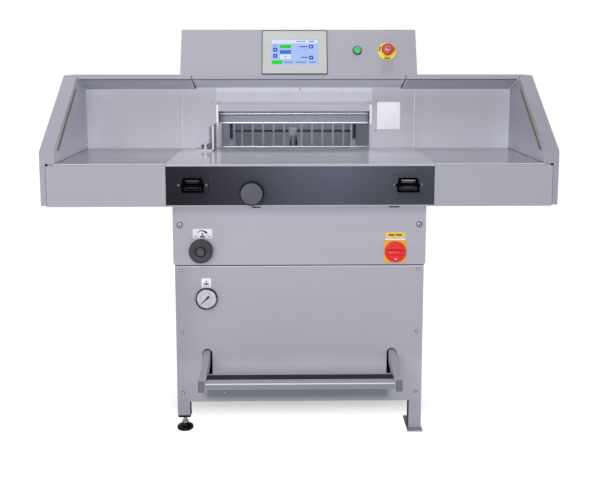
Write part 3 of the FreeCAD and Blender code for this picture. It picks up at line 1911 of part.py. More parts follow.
def start_button():
    """The green start button: a cap on a stem."""
    cap = panel_rod("start_cap_disc", "start_offset", "start_along", "start_proud - 3", "start_cap", "3")
    stem = panel_rod("start_stem", "start_offset", "start_along", "-18", "start_cap / 2", "start_proud + 16")
    return fuse("start_button", cap, stem)


def estop_plate():
    disc = panel_rod("estop_disc", "stop_offset", "stop_along", "0", "stop_plate", "2.5")
    hole = stop_bore("estop_hole", "-1")
    return cut("estop_plate", disc, hole)


def estop_button():
    """The red mushroom: a domed cap on a neck."""
    neck = panel_rod("estop_neck", "stop_offset", "stop_along", "-20", "stop_neck", "stop_proud + 10")
    cap = panel_rod(
        "estop_cap",
        "stop_offset",
        "stop_along",
        "stop_proud - cap_thick",
        "stop_cap",
        "cap_thick",
    )
    doc.recompute()
    top = cap.Shape.BoundBox.ZMax - 0.01

    def crown_edge(edge):
        return len(edge.Vertexes) == 1 and edge.BoundBox.ZMax > top

    domed = softened("estop_dome", cap, "dome_round", crown_edge)
    return fuse("estop_button", neck, domed)


bezel = display_bezel()
screen_glass = tilted_slab(
    "display_screen",
    ("screen_left", "screen_left + screen_width"),
    ("screen_low", "screen_low + screen_length"),
    ("-sheet", "display_thick - 1"),
)
ring = start_ring()
start = start_button()
stop_disc = estop_plate()
stop_cap = estop_button()


# Fasteners and side stop

def screw_head(label, x, y, z, radius):
    """A low round head that faces the operator."""
    return rod(label, "Y", (x, f"{y} - head_height", z), radius, "head_height")


def cover_screws():
    heads = []
    rows = ("cover_seam - 20", "body_bottom + row_low + row_gap", "body_bottom + row_low")
    for side, sign in (("left", "-"), ("right", "")):
        offset = f"{sign}screw_offset"
        large = screw_head(f"large_screw_{side}", offset, "upper_front", "large_screw_height", "large_screw")
        heads.append(large)
        shank = rod(
            f"large_shank_{side}",
            "Y",
            (offset, "upper_front + sheet", "large_screw_height"),
            "4",
            "leg_front - upper_front - sheet",
        )
        heads.append(shank)
        for row, height in enumerate(rows):
            heads.append(screw_head(f"side_screw_{side}_{row}", offset, "body_front", height, "small_screw"))
        low_offset = f"{sign}(half_body - low_screw_set)"
        heads.append(screw_head(f"low_screw_{side}", low_offset, "body_front", rows[2], "small_screw"))
    wall_spots = (
        ("throat_centre + centre_screw", "wall_top - 8"),
        ("edge_left - edge_screw", "throat_top + guard_screw"),
        ("edge_left + edge_screw", "throat_top + guard_screw"),
        ("edge_right - edge_screw", "throat_top + guard_screw"),
        ("edge_right + edge_screw", "throat_top + guard_screw"),
        ("edge_right + edge_screw", "table_height + strip_screw"),
    )
    for index, (offset, height) in enumerate(wall_spots):
        heads.append(screw_head(f"wall_screw_{index}", offset, "wall_depth", height, "wall_screw"))
    for index in (1, 2):
        middle = "(stop_front + wall_depth) / 2"
        spot = (f"stop_left - stop_flange * {index} / 3", middle, "table_height + plate")
        heads.append(rod(f"stop_screw_{index}", "Z", spot, "small_screw", "small_screw"))
    return group("cover_screws", *heads)


def side_stop():
    """The angle bracket on the table at the throat's left edge."""
    plate_part = brick(
        "stop_upright",
        ("stop_left", "stop_left + plate"),
        ("stop_front", "wall_depth"),
        ("table_height", "table_height + stop_height"),
    )
    foot = brick(
        "stop_foot",
        ("stop_left - stop_flange", "stop_left"),
        ("stop_front", "wall_depth - 4"),
        ("table_height", "table_height + plate"),
    )
    return fuse("side_stop", plate_part, foot)


screws = cover_screws()
bracket = side_stop()

NODES = [
    stand_left, stand_right, caps, foot_front, foot_rear, lower_cover, upper_cover, side_sheets, rear_sheet,
    tray, inlet, table, table_left, table_right, apron, fascia, stick, wing_left, wing_right, curtains, walls,
    cover_over_knife, hoods, head, frame, guides, clamp, posts, cylinders, carrier, blade, knife_rod, gauge,
    carriage, screw, motor, rear_guard, tank, pump, valve, frame_of_pedal, tread, rubber, knob, pressure_dial,
    needle, switch_square, switch_turn, shrouds, button_left, button_right, dial, bezel, screen_glass, ring,
    start, stop_disc, stop_cap, screws, bracket,
]


def check_model():
    doc.recompute()
    for item in doc.Objects:
        if "Invalid" in item.State or "Error" in item.State:
            raise RuntimeError(f"{item.Name} failed: {item.State}")
    for node in NODES:
        if node.Shape.isNull() or not node.Shape.isValid() or not node.Shape.Solids:
            raise RuntimeError(f"{node.Label} has no valid solid")


check_model()
os.makedirs("parts", exist_ok=True)
whole = FreeCAD.BoundBox()
for node in NODES:
    node.Shape.exportStep(f"parts/{node.Label}.step")
    whole.add(node.Shape.BoundBox)
print(len(NODES), "pieces", whole)
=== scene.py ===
import math
import bpy
from mathutils import Matrix, Vector


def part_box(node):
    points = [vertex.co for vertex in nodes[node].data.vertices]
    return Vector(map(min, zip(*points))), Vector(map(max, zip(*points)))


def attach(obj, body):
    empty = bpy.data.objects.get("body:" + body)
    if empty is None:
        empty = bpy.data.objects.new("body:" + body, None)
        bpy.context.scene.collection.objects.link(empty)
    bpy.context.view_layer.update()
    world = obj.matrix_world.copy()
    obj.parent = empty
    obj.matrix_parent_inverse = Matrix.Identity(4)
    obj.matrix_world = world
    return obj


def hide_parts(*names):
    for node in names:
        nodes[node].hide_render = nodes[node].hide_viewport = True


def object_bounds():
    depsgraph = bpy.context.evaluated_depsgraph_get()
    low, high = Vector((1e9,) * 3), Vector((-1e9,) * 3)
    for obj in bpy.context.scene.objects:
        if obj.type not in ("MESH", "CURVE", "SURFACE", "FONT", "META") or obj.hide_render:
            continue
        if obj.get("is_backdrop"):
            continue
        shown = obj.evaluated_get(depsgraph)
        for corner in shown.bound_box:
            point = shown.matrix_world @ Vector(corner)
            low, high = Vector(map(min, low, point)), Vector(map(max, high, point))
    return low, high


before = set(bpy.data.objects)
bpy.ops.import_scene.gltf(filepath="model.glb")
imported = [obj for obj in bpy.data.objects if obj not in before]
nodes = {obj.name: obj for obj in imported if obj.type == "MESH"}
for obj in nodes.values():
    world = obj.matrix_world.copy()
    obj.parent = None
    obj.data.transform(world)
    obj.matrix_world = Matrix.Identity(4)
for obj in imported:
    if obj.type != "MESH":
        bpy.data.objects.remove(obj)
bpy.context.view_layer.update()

# Places of the model in millimetres: X from the middle, depth from the table's front edge, height from
# the floor. FRONT is that edge on the world's Y axis.
FRONT = -536.0
COVER_FACE = 140.0
LOWER_FACE = 152.0
WALL_FACE = 399.0
LIP_DEPTH = 292.0
HOOD_TOP = 1140.0
HEAD_TILT = math.radians(21.8)
WING_INSIDE = 716
CURTAIN_FOOT = (47, 926)
CURTAIN_HEAD = (273, 1097)
SCREW_HEIGHTS = (128, 330, 532, 735)
FEET = {"front": (-372, 173, 0), "rear": (-372, 819, 0)}
KNOB = (-308, COVER_FACE, 599.5)
KNOB_LABEL = (-303.5, COVER_FACE, 653)
GAUGE = (-294.5, LOWER_FACE, 441)
GAUGE_LABEL = (-295, LOWER_FACE, 490.5)
SWITCH = (299.5, COVER_FACE, 594)
SWITCH_LABEL = (299.5, COVER_FACE, 646.5)
BUTTONS = {"left": (-315, 0, 829), "right": (315, 0, 829)}
DIAL = (-142, 0, 806.5)
FACE_SIDE = (1, 0, 0)
UP = (0, 0, 1)
MM = Matrix.Scale(0.001, 4)
PRINT = 0.05


# Frames that pieces are built in: local millimetres, with local Z pointing out of the surface

def placed(x, y, z, right, up):
    """A frame at a point, with its own X and Y directions."""
    across, along = Vector(right), Vector(up)
    turn = Matrix((across, along, across.cross(along))).transposed().to_4x4()
    return Matrix.Translation(Vector((x, y + FRONT, z)) / 1000) @ turn @ MM


def facing(x, y, z):
    """A frame that faces the operator."""
    return placed(x, y, z, FACE_SIDE, UP)


def upright(x, y, z):
    return placed(x, y, z, FACE_SIDE, (0, 1, 0))


def rearward(x, y, z):
    return placed(x, y, z, (-1, 0, 0), UP)


def on_panel(x, along):
    """A frame on the head's sloping front."""
    lean = (0, math.sin(HEAD_TILT), math.cos(HEAD_TILT))
    return placed(x, LIP_DEPTH + along * lean[1], HOOD_TOP + along * lean[2], FACE_SIDE, lean)


def moved(place, x, y, z=0):
    return place @ Matrix.Translation((x, y, z))


# Outlines, each a closed ring of points in millimetres

def polar(angle, radius):
    return radius * math.cos(angle), radius * math.sin(angle)


def circle(radius, height, count=64, wave=0.0, waves=0):
    angles = [2 * math.pi * step / count for step in range(count)]
    return [(*polar(angle, radius * (1 + wave * math.cos(waves * angle))), height) for angle in angles]


def hexagon(radius, height, count=24):
    ring = []
    for step in range(count):
        angle = 2 * math.pi * step / count
        reach = radius * math.cos(math.pi / 6) / math.cos(angle % (math.pi / 3) - math.pi / 6)
        ring.append((*polar(angle, reach), height))
    return ring


def rounded(corners, radius, height, steps=5):
    """A polygon whose corners are rounded."""
    ring = []
    count = len(corners)
    for index in range(count):
        corner = Vector(corners[index])
        before = Vector(corners[index - 1]) - corner
        after = Vector(corners[(index + 1) % count]) - corner
        start = corner + before.normalized() * min(radius, before.length / 2)
        end = corner + after.normalized() * min(radius, after.length / 2)
        for step in range(steps + 1):
            share = step / steps
            point = start * (1 - share) ** 2 + corner * 2 * share * (1 - share) + end * share ** 2
            ring.append((point.x, point.y, height))
    return ring


def oblong(width, height, radius, level, centre=(0, 0)):
    x, y = width / 2, height / 2
    corners = [(-x, -y), (x, -y), (x, y), (-x, y)]
    return rounded([(a + centre[0], b + centre[1]) for a, b in corners], radius, level)


def trapezoid(low, high, height, radius, level):
    y = height / 2
    return rounded([(-low / 2, -y), (low / 2, -y), (high / 2, y), (-high / 2, y)], radius, level)


class Build:
    """Gathers lofts into one mesh."""

    def __init__(self):
        self.points = []
        self.faces = []

    def loft(self, place, rings, start=True, end=True):
        first = len(self.points)
        count = len(rings[0])
        for ring in rings:
            self.points.extend(place @ Vector(point) for point in ring)
        for level in range(len(rings) - 1):
            low = first + level * count
            high = low + count
            for step in range(count):
                after = (step + 1) % count
                self.faces.append((low + step, low + after, high + after, high + step))
        if start:
            self.faces.append(tuple(first + step for step in reversed(range(count))))
        if end:
            last = first + (len(rings) - 1) * count
            self.faces.append(tuple(last + step for step in range(count)))
        return self

    def lathe(self, place, profile, count=64, start=True, end=True, waves=0):
        """Circles, each a radius, a height and, for a fluted rim, the depth of its waves."""
        rings = [circle(radius, height, count, *wave, waves) if wave else circle(radius, height, count)
                 for radius, height, *wave in profile]
        return self.loft(place, rings, start, end)

    def slabs(self, place, rows, start=True, end=True):
        """Rounded rectangles, each a width, a height, a corner radius and a level."""
        return self.loft(place, [oblong(*row) for row in rows], start, end)

    def prism(self, ring, left, right, place=Matrix.Identity(4)):
        """A bar along X, with a section of depths and heights."""
        return self.loft(place, [[(x, y, z) for y, z in ring] for x in (left, right)])

    def flat(self, place, ring, level, thick=PRINT):
        """A thin plate on a surface."""
        return self.loft(place, [[(x, y, z) for x, y in ring] for z in (level, level + thick)])

    def strip(self, place, left, low, right, high, level):
        """A thin printed bar."""
        centre = ((left + right) / 2, (low + high) / 2)
        width, height = right - left, high - low
        corner = min(0.6, width / 3, height / 3)
        return self.loft(place, [oblong(width, height, corner, z, centre) for z in (level, level + PRINT)])

    def tick(self, place, angle, inner, outer, width, level):
        along = Vector(polar(math.radians(angle), 1))
        across = Vector((-along.y, along.x)) * width / 2
        near, far = along * inner, along * outer
        return self.flat(place, [near - across, far - across, far + across, near + across], level)

    def arc(self, place, start, end, inner, outer, level, steps, taper=0.0):
        """A flat curved band; its inner radius may change on the way."""
        for step in range(steps):
            ring = []
            for share, far in ((step, True), (step + 1, True), (step + 1, False), (step, False)):
                part = share / steps
                angle = math.radians(start + (end - start) * part)
                ring.append(polar(angle, outer if far else inner + taper * part))
            self.flat(place, ring, level)
        return self

    def piece(self, name, material, body="machine", smooth=32):
        mesh = bpy.data.meshes.new(name)
        mesh.from_pydata([tuple(point) for point in self.points], [], self.faces)
        mesh.update()
        mesh.shade_smooth()
        mesh.set_sharp_from_angle(angle=math.radians(smooth))
        mesh.materials.append(material)
        item = shown(name, mesh)
        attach(item, body)
        return item


def shown(name, data):
    """Puts an object into the scene."""
    item = bpy.data.objects.new(name, data)
    bpy.context.scene.collection.objects.link(item)
    return item


# Finishes: tones are levels of red, green and blue as they show on a screen

def linear(level):
    share = level / 255
    return share / 12.92 if share <= 0.04045 else ((share + 0.055) / 1.055) ** 2.4


def tone(red, green, blue):
    return (linear(red), linear(green), linear(blue), 1)


def scaled(color, share):
    return tuple(min(1.0, channel * share) for channel in color[:3]) + (1,)


def put(tree, socket, value):
    """Links an input to another node's output, or sets what it holds."""
    if isinstance(value, bpy.types.NodeSocket):
        tree.links.new(value, socket)
    else:
        socket.default_value = value


def node(tree, kind, output, inputs=None, **settings):
    """One output of a new shader node."""
    item = tree.nodes.new("ShaderNode" + kind)
    for name, value in settings.items():
        setattr(item, name, value)
    for name, value in (inputs or {}).items():
        put(tree, item.inputs[name], value)
    return item.outputs[output]


def parts(material):
    """A finish's nodes, and its shader's inputs."""
    tree = material.node_tree
    return tree, tree.nodes["Principled BSDF"].inputs


def source(socket):
    return socket.links[0].from_socket


def noise(tree, vector, scale, detail=2.0):
    return node(tree, "TexNoise", "Fac", {"Vector": vector, "Scale": scale, "Detail": detail})


def blend(tree, factor, first, second, kind="MIX"):
    """A mix of two colours."""
    inputs = {"Factor": factor, "A": first, "B": second}
    return node(tree, "Mix", "Result", inputs, data_type="RGBA", blend_type=kind)


def ranged(tree, value, start, end, low=0.0, high=1.0, **settings):
    """A range of values, laid over another range."""
    inputs = {"Value": value, "From Min": start, "From Max": end, "To Min": low, "To Max": high}
    return node(tree, "MapRange", "Result", inputs, **settings)


def reach_along(tree, axis, kind="Object"):
    """How far a point lies along an axis, or how far its face turns towards it."""
    return node(tree, "SeparateXYZ", axis, {"Vector": node(tree, "TexCoord", kind)})


def mask(tree, bands):
    """Where all bands show: each has an axis of places or of normals, a start, and where it is full."""
    shows = None
    for axis, start, end in bands:
        along = reach_along(tree, axis[-1], "Normal" if "Normal" in axis else "Object")
        part = ranged(tree, along, start, end, interpolation_type="SMOOTHSTEP")
        if shows is None:
            shows = part
        else:
            shows = node(tree, "Math", "Value", {0: shows, 1: part}, operation="MULTIPLY")
    return shows


def ramped(tree, axis, stops):
    """A colour along an axis, through stops that are each a place in millimetres and a colour or a share."""
    start, end = stops[0][0], stops[-1][0]
    share = ranged(tree, reach_along(tree, axis), start / 1000, end / 1000)
    ramp = node(tree, "ValToRGB", "Color", {"Fac": share})
    marks = ramp.node.color_ramp.elements
    for place, color in stops[1:-1]:
        marks.new((place - start) / (end - start))
    for mark, (place, color) in zip(marks, stops):
        mark.position = (place - start) / (end - start)
        mark.color = color if isinstance(color, tuple) else (color, color, color, 1)
    return ramp


def recolor(material, color, *bands):
    """Lays another colour over a finish where its bands show."""
    tree, inputs = parts(material)
    target = inputs["Base Color"]
    over = tone(*color) if isinstance(color, tuple) else color
    put(tree, target, blend(tree, mask(tree, bands), source(target), over))


def regloss(material, roughness, *bands):
    tree, inputs = parts(material)
    target = inputs["Roughness"]
    mixed = {"Factor": mask(tree, bands), "A": source(target), "B": roughness}
    put(tree, target, node(tree, "Mix", "Result", mixed))


def graded(material, axis, *stops):
    """Lets a finish's tone run along one axis through stops, each a place in millimetres and a share."""
    tree, inputs = parts(material)
    target = inputs["Base Color"]
    put(tree, target, blend(tree, 1, source(target), ramped(tree, axis, stops), "MULTIPLY"))


def surface(name, levels, roughness, mottle, patch, grain, bump, metallic=0.0, depth=0.0002, vary=0.05,
            stretch=(1, 1, 1), coat=0.0, specular=0.5):
    """A procedural finish: broad mottled patches, and fine grain in relief and gloss."""
    color = tone(*levels)
    material = bpy.data.materials.new(name + "_mat")
    material.use_nodes = True
    material.diffuse_color = color
    tree, inputs = parts(material)
    vector = node(tree, "Mapping", "Vector", {"Vector": node(tree, "TexCoord", "Object"), "Scale": stretch})
    broad = ranged(tree, noise(tree, vector, patch, 4.0), 0.3, 0.7)
    fine = noise(tree, vector, grain)
    settings = {
        "Metallic": metallic, "Coat Weight": coat, "Coat Roughness": 0.08, "Specular IOR Level": specular,
        "Base Color": blend(tree, broad, scaled(color, 1 - mottle), scaled(color, 1 + mottle)),
        "Roughness": ranged(tree, fine, 0.3, 0.7, roughness - vary, roughness + vary),
        "Normal": node(tree, "Bump", "Normal", {"Strength": bump, "Distance": depth, "Height": fine}),
    }
    for key, value in settings.items():
        put(tree, inputs[key], value)
    return material


def lacquer(name, levels, roughness=0.48, bump=0.12):
    """The satin paint of the sheet metal."""
    return surface(name, levels, roughness, 0.012, 3, 900, bump)


def side_shaded_paint(name, axis, side, shade, base):
    """Paint whose faces towards one side get a tone of their own: painted light where it is lighter, painted
    shade where it is darker.
    """
    material = lacquer(name, base)
    recolor(material, shade, ("Normal " + axis, side * 0.7, side * 0.9))
    return material


def wing_paint(name, side, inner, slope, front):
    """Wing paint with painted light and shade: its inner face, painted lighter towards its foot, its leaning
    front and its upright front each get a tone of their own.
    """
    material = side_shaded_paint(name, "X", side, inner, PAINT)
    shades = [(900, 1.35), (920, 1.28), (946, 1.12), (973, 1.02), (1000, 0.95), (1027, 0.93), (1060, 1.0)]
    stops = [(place, scaled(tone(*inner), share)) for place, share in shades]
    recolor(material, ramped(material.node_tree, "Z", stops), ("Normal X", side * 0.7, side * 0.9))
    recolor(material, front, ("Normal Y", -0.95, -0.985))
    recolor(material, slope, ("Normal Z", 0.25, 0.4))
    return material


def glow(name, levels):
    """A lit printed surface, with a faint unevenness of its backlight."""
    material = surface(name, levels, 0.25, 0.02, 25, 700, 0.02, specular=0.3)
    tree, inputs = parts(material)
    lit = source(inputs["Base Color"])
    put(tree, inputs["Emission Strength"], 0.9)
    put(tree, inputs["Emission Color"], lit)
    put(tree, inputs["Base Color"], blend(tree, 1, lit, (0.12, 0.12, 0.12, 1), "MULTIPLY"))
    return material


def clear(name, levels, gloss):
    """Clear plastic or glass: see-through, with a glossy face."""
    material = surface(name, levels, gloss, 0.01, 6, 40, 0.03, vary=0.02)
    tree, inputs = parts(material)
    put(tree, inputs["Transmission Weight"], 1.0)
    put(tree, inputs["IOR"], 1.1)
    material.diffuse_color = tone(*levels)[:3] + (0.3,)
    return material


# Paint of the sheet metal, with painted light and shade laid over its panels in soft grades

PAINT = (176, 176, 187)
paint = lacquer("paint_grey", PAINT)
paint_front = lacquer("paint_front", (168, 168, 178))
# Darker towards both outer ends: painted shade.
graded(paint_front, "X", (-758, 0.9), (-694, 0.93), (-540, 1.0), (-430, 1.03), (0, 1.03), (400, 1.045),
       (507, 1.04), (611, 0.965), (715, 0.89), (758, 0.88))
paint_wall = surface("paint_wall", (196, 196, 206), 0.5, 0.025, 9, 900, 0.12)
# Painted light and shade: lighter at the foot, darker higher up, lighter again at the top under the hood, and
# lighter at both ends beside the wings.
graded(paint_wall, "Z", (891, 1.16), (918, 1.1), (946, 1.03), (973, 0.97), (1000, 0.92), (1027, 0.87),
       (1055, 0.88), (1080, 1.02), (1092, 1.12))
graded(paint_wall, "X", (-716, 1.5), (-686, 1.4), (-645, 1.12), (-604, 1.02), (-560, 1.0), (-394, 1.0),
       (-360, 1.04), (0, 1.0), (345, 0.95), (384, 0.91), (425, 0.965), (630, 0.965), (667, 1.05), (716, 1.16))
paint_knife = surface("paint_knife", (207, 207, 216), 0.5, 0.04, 22, 900, 0.12)
# Painted shade on the cover's lower strip below its bend, and painted light at its top under the hood.
recolor(paint_knife, (188, 189, 199), ("Z", 1.0505, 1.0495))
graded(paint_knife, "Z", (1016, 1.0), (1060, 1.0), (1078, 1.04), (1090, 1.3), (1098, 1.3))
paint_upper = lacquer("paint_upper", (182, 182, 193))
# Lighter towards the top under the table's overhang: painted light; darker towards the left end: painted
# shade.
graded(paint_upper, "Z", (560, 1.0), (606, 1.0), (638, 1.05), (670, 1.1), (702, 1.18), (735, 1.12),
       (770, 1.1))
graded(paint_upper, "X", (-393, 0.93), (-340, 0.96), (-200, 1.0), (393, 1.0))
paint_lower = lacquer("paint_lower", PAINT)
# Darker towards the left end and the foot: painted shade; lighter just above the pedal's tread: painted
# light.
graded(paint_lower, "X", (-393, 0.82), (-360, 0.86), (-330, 0.93), (-290, 0.98), (-240, 1.0), (393, 1.0))
graded(paint_lower, "Z", (98, 0.93), (110, 0.98), (180, 1.1), (208, 1.13), (255, 1.0), (440, 1.0),
       (540, 1.04))
# A darker band just below the pedal's tread: a painted shadow of the tread.
recolor(paint_lower, (124, 124, 133), ("X", -0.32, -0.288), ("X", 0.306, 0.274),
        ("Z", 0.094, 0.12), ("Z", 0.2, 0.155))
paint_head = lacquer("paint_head", PAINT)
# Darker towards the right: painted shade.
graded(paint_head, "X", (-384, 0.905), (100, 0.885), (384, 0.84))
# The undersides get lighter tones than the top: painted light, lightest in the middle and less light at the
# right.
paint_hood = side_shaded_paint("hood", "Z", -1, (196, 196, 208), (168, 168, 179))
UNDERSIDE = ("Normal Z", -0.7, -0.9)
recolor(paint_hood, (184, 184, 197), UNDERSIDE, ("X", 0.3, 0.36))
recolor(paint_hood, (214, 214, 227), UNDERSIDE, ("X", -0.36, -0.34), ("X", 0.36, 0.34))
# The fascia's dark paint carries a painted reflection: lighter in the middle, darkest at the left end, and
# darker towards its foot.
paint_dark = surface("paint_dark", (14, 15, 27), 0.34, 0.03, 2.5, 1100, 0.06, specular=0.16)
dark_tree, dark_inputs = parts(paint_dark)
fascia_painted_light = source(dark_inputs["Base Color"]).node
fascia_painted_light.blend_type = "MULTIPLY"
put(dark_tree, fascia_painted_light.inputs["B"], (0.9, 0.9, 0.9, 1))
put(dark_tree, fascia_painted_light.inputs["A"], ramped(dark_tree, "X", [
    (-390, tone(14, 15, 27)), (-296, tone(30, 32, 44)), (-207, tone(52, 53, 66)), (-118, tone(70, 73, 85)),
    (0, tone(88, 92, 106)), (117, tone(92, 97, 114)), (235, tone(79, 85, 96)), (338, tone(71, 75, 87)),
    (390, tone(68, 73, 85)),
]))
graded(paint_dark, "Z", (790, 0.78), (884, 1.0))

# Tables: a glossy top, painted shade in its slots, and a polished part behind the knife

TOP_FACE = ("Normal Z", 0.8, 0.95)
paint_top = lacquer("paint_side_table", (168, 168, 178), 0.46, 0.1)
# The tops get a darker tone than the sides, darker still to the left: painted shade and reflection on a
# glossy top.
recolor(paint_top, ramped(paint_top.node_tree, "X", [
    (-741, tone(149, 149, 159)), (-393, tone(150, 150, 160)), (393, tone(164, 164, 175)),
    (741, tone(164, 164, 175)),
]), TOP_FACE)
regloss(paint_top, 0.12, TOP_FACE)
paint_table = surface("table_face", (205, 204, 214), 0.08, 0.02, 4, 260, 0.012, stretch=(0.3, 4, 4),
                      vary=0.02, specular=0.36)
# Darker towards the right end: painted shade.
graded(paint_table, "X", (-393, 1.0), (240, 1.0), (320, 0.9), (393, 0.88))
recolor(paint_table, (186, 186, 196), ("Normal Y", -0.8, -0.95))
# Faces turned sideways are painted near black: painted shade in the slots; the outer side faces get a grey of
# their own.
for side in (1, -1):
    turned = ("Normal X", side * 0.7, side * 0.9)
    recolor(paint_table, (8, 8, 10), turned)
    recolor(paint_table, (150, 151, 160), turned, ("X", side * 0.38, side * 0.385),
            ("Y", -0.135, -0.13))
recolor(paint_table, (150, 151, 160), ("Normal Y", 0.8, 0.95))
polished = (("Y", -0.085, -0.08), TOP_FACE)
recolor(paint_table, (244, 244, 251), *polished)
regloss(paint_table, 0.06, *polished)
table_tree, table_inputs = parts(paint_table)
put(table_tree, table_inputs["Metallic"], mask(table_tree, polished))
for side in (1, -1):
    regloss(paint_table, 0.9, ("Normal X", side * 0.7, side * 0.9))

# Metal: name, tone, roughness, mottling, patches and grain per metre, relief

cast = surface("cast_grey", (172, 174, 182), 0.55, 0.06, 14, 420, 0.4, depth=0.0004)
steel = surface("bright_steel", (205, 206, 214), 0.24, 0.03, 8, 90, 0.05, 1.0, stretch=(0.2, 6, 6),
                vary=0.07)
screw_steel = surface("leadscrew_steel", (224, 225, 231), 0.3, 0.03, 30, 400, 0.06, 0.35)
white_edge = surface("edge_strip", (240, 240, 246), 0.3, 0.02, 20, 300, 0.04, 0.1, stretch=(4, 4, 0.5))
recolor(white_edge, (236, 237, 246), ("Y", -0.08, -0.06))
recolor(white_edge, (190, 190, 202), ("X", 0.1, 0.2), ("Z", 0.978, 0.97))
# Near-white metal with a polished gloss; on the bars at the clamp, the table and under the hood its
# brightness is partly a painted highlight.
edge_white = surface("polish_highlight", (240, 241, 247), 0.28, 0.02, 20, 300, 0.03, 0.45,
                     stretch=(0.4, 4, 4))
clamp_grey = surface("clamp_grey", (142, 145, 162), 0.34, 0.03, 8, 160, 0.05, 0.2, stretch=(0.2, 5, 5))
blade_steel = surface("blade_steel", (196, 198, 204), 0.18, 0.02, 6, 120, 0.05, 1.0,
                      stretch=(6, 6, 0.2))
zinc = surface("zinc", (186, 188, 192), 0.34, 0.08, 30, 500, 0.12, 0.9)
screw_bright = surface("screw_bright", (214, 214, 220), 0.3, 0.06, 60, 900, 0.1, 0.4)
screw_rim = surface("screw_rim", (96, 96, 106), 0.4, 0.08, 60, 900, 0.1, 0.4)
alu = surface("tread_aluminium", (150, 153, 161), 0.36, 0.03, 6, 160, 0.08, 0.4, stretch=(0.1, 5, 5),
              vary=0.08)
gauge_alu = surface("gauge_aluminium", (202, 203, 209), 0.4, 0.04, 10, 160, 0.06, stretch=(5, 5, 0.3))
# A dark line along the gauge's foot is a painted shadow; the fingers' front faces get a lighter tone.
recolor(gauge_alu, (66, 67, 73), ("Z", 0.8965, 0.895))
recolor(gauge_alu, (246, 246, 252), ("Y", 0.447, 0.441))
carriage_grey = surface("carriage_grey", (248, 248, 252), 0.4, 0.04, 30, 500, 0.1, 0.1)
tread_bright = surface("tread_lip", (142, 145, 152), 0.4, 0.03, 6, 160, 0.06, 0.1,
                       stretch=(0.1, 5, 5))
# A thin near-white band along the bead is a painted highlight; a pale band above it and the upward faces are
# painted lighter: painted light.
recolor(tread_bright, (238, 239, 246), ("Z", 0.2182, 0.2188))
recolor(tread_bright, (150, 152, 160), ("Z", 0.2229, 0.2233))
recolor(tread_bright, (186, 187, 195), ("Normal Z", 0.8, 0.9))

# Plastic, rubber and trim, in the same order of values

cap_grey = surface("arm_cap", (112, 113, 121), 0.5, 0.04, 20, 1200, 0.15)
rubber = surface("rubber_black", (40, 41, 47), 0.62, 0.12, 40, 1500, 0.3, specular=0.3)
black = surface("plastic_black", (11, 11, 13), 0.3, 0.1, 30, 1300, 0.1, specular=0.3)
dark = surface("plastic_dark", (60, 61, 68), 0.46, 0.05, 30, 1400, 0.22, specular=0.35)
dial_grey = surface("dial_grey", (80, 81, 90), 0.46, 0.04, 30, 1400, 0.18)
hub_grey = surface("hub_grey", (68, 69, 75), 0.5, 0.05, 40, 1600, 0.25)
yellow = surface("plastic_yellow", (252, 184, 8), 0.42, 0.03, 40, 1200, 0.08, specular=0.3)
label_yellow = surface("label_yellow", (250, 214, 84), 0.42, 0.03, 40, 1200, 0.05, specular=0.3)
signal_yellow = surface("stop_yellow", (240, 226, 84), 0.42, 0.03, 40, 1200, 0.08, specular=0.3)
red = surface("plastic_red", (246, 30, 33), 0.32, 0.05, 35, 1200, 0.08, coat=0.2)
red_dark = surface("plastic_red_groove", (150, 16, 22), 0.5, 0.05, 35, 1200, 0.08)
stop_red = surface("stop_red", (212, 50, 52), 0.3, 0.05, 35, 1200, 0.08, coat=0.3)
green = surface("plastic_green", (66, 190, 116), 0.3, 0.04, 60, 1200, 0.06, coat=0.2)
beige = surface("display_grey", (190, 191, 191), 0.5, 0.015, 12, 1500, 0.12)
outline_grey = surface("display_rim", (56, 57, 63), 0.45, 0.04, 30, 1200, 0.1)
shroud_black = surface("shroud_black", (3, 3, 6), 0.5, 0.1, 30, 1300, 0.1, specular=0.02)
shroud_screw = surface("shroud_screw", (112, 113, 128), 0.5, 0.05, 40, 900, 0.1, specular=0.2)
glint_grey = surface("glint_grey", (176, 176, 184), 0.5, 0.05, 60, 900, 0.05)
socket_dark = surface("socket_dark", (58, 58, 68), 0.5, 0.08, 60, 900, 0.1)
flange_grey = surface("stop_flange", (144, 143, 152), 0.5, 0.02, 12, 900, 0.12)
# A light tone for bars that are painted highlights on edges.
edge_highlight = surface("edge_highlight", (226, 226, 234), 0.4, 0.02, 12, 600, 0.08)
trim_table = surface("trim_table", (199, 199, 208), 0.4, 0.02, 12, 600, 0.08)
# Dark tones for bars that are painted shadow in seams and under the hood's lip.
gap_shade = surface("gap_shade", (44, 44, 52), 0.6, 0.06, 20, 900, 0.12, specular=0.2)
hem_shadow_grey = surface("hem_shadow_grey", (112, 112, 122), 0.6, 0.05, 20, 900, 0.12, specular=0.2)
stick_white = surface("stick_white", (250, 250, 253), 0.4, 0.02, 12, 400, 0.1)
amber = surface("curtain_amber", (146, 128, 34), 0.3, 0.08, 60, 600, 0.05)
sticker = surface("sticker_white", (247, 248, 252), 0.38, 0.01, 30, 900, 0.04)
ink = surface("print_grey", (34, 36, 43), 0.5, 0.05, 60, 900, 0.03)
dial_white = surface("white_dial", (240, 230, 238), 0.5, 0.02, 60, 1200, 0.03)
mark_grey = surface("dial_mark", (136, 124, 138), 0.5, 0.04, 60, 900, 0.03)
scale_rose = surface("dial_ring", (206, 176, 190), 0.5, 0.04, 60, 900, 0.03)
screen_blue = glow("screen", (166, 190, 244))
screen_white = glow("screen_header", (216, 228, 250))
screen_green = glow("screen_green", (8, 212, 14))
screen_navy = glow("screen_navy", (28, 66, 178))
screen_bar = glow("screen_bar", (66, 108, 200))
screen_ink = glow("screen_ink", (96, 108, 150))
guard_clear = clear("clear_guard", (176, 184, 190), 0.06)
lens_clear = clear("lens_clear", (248, 250, 252), 0.03)


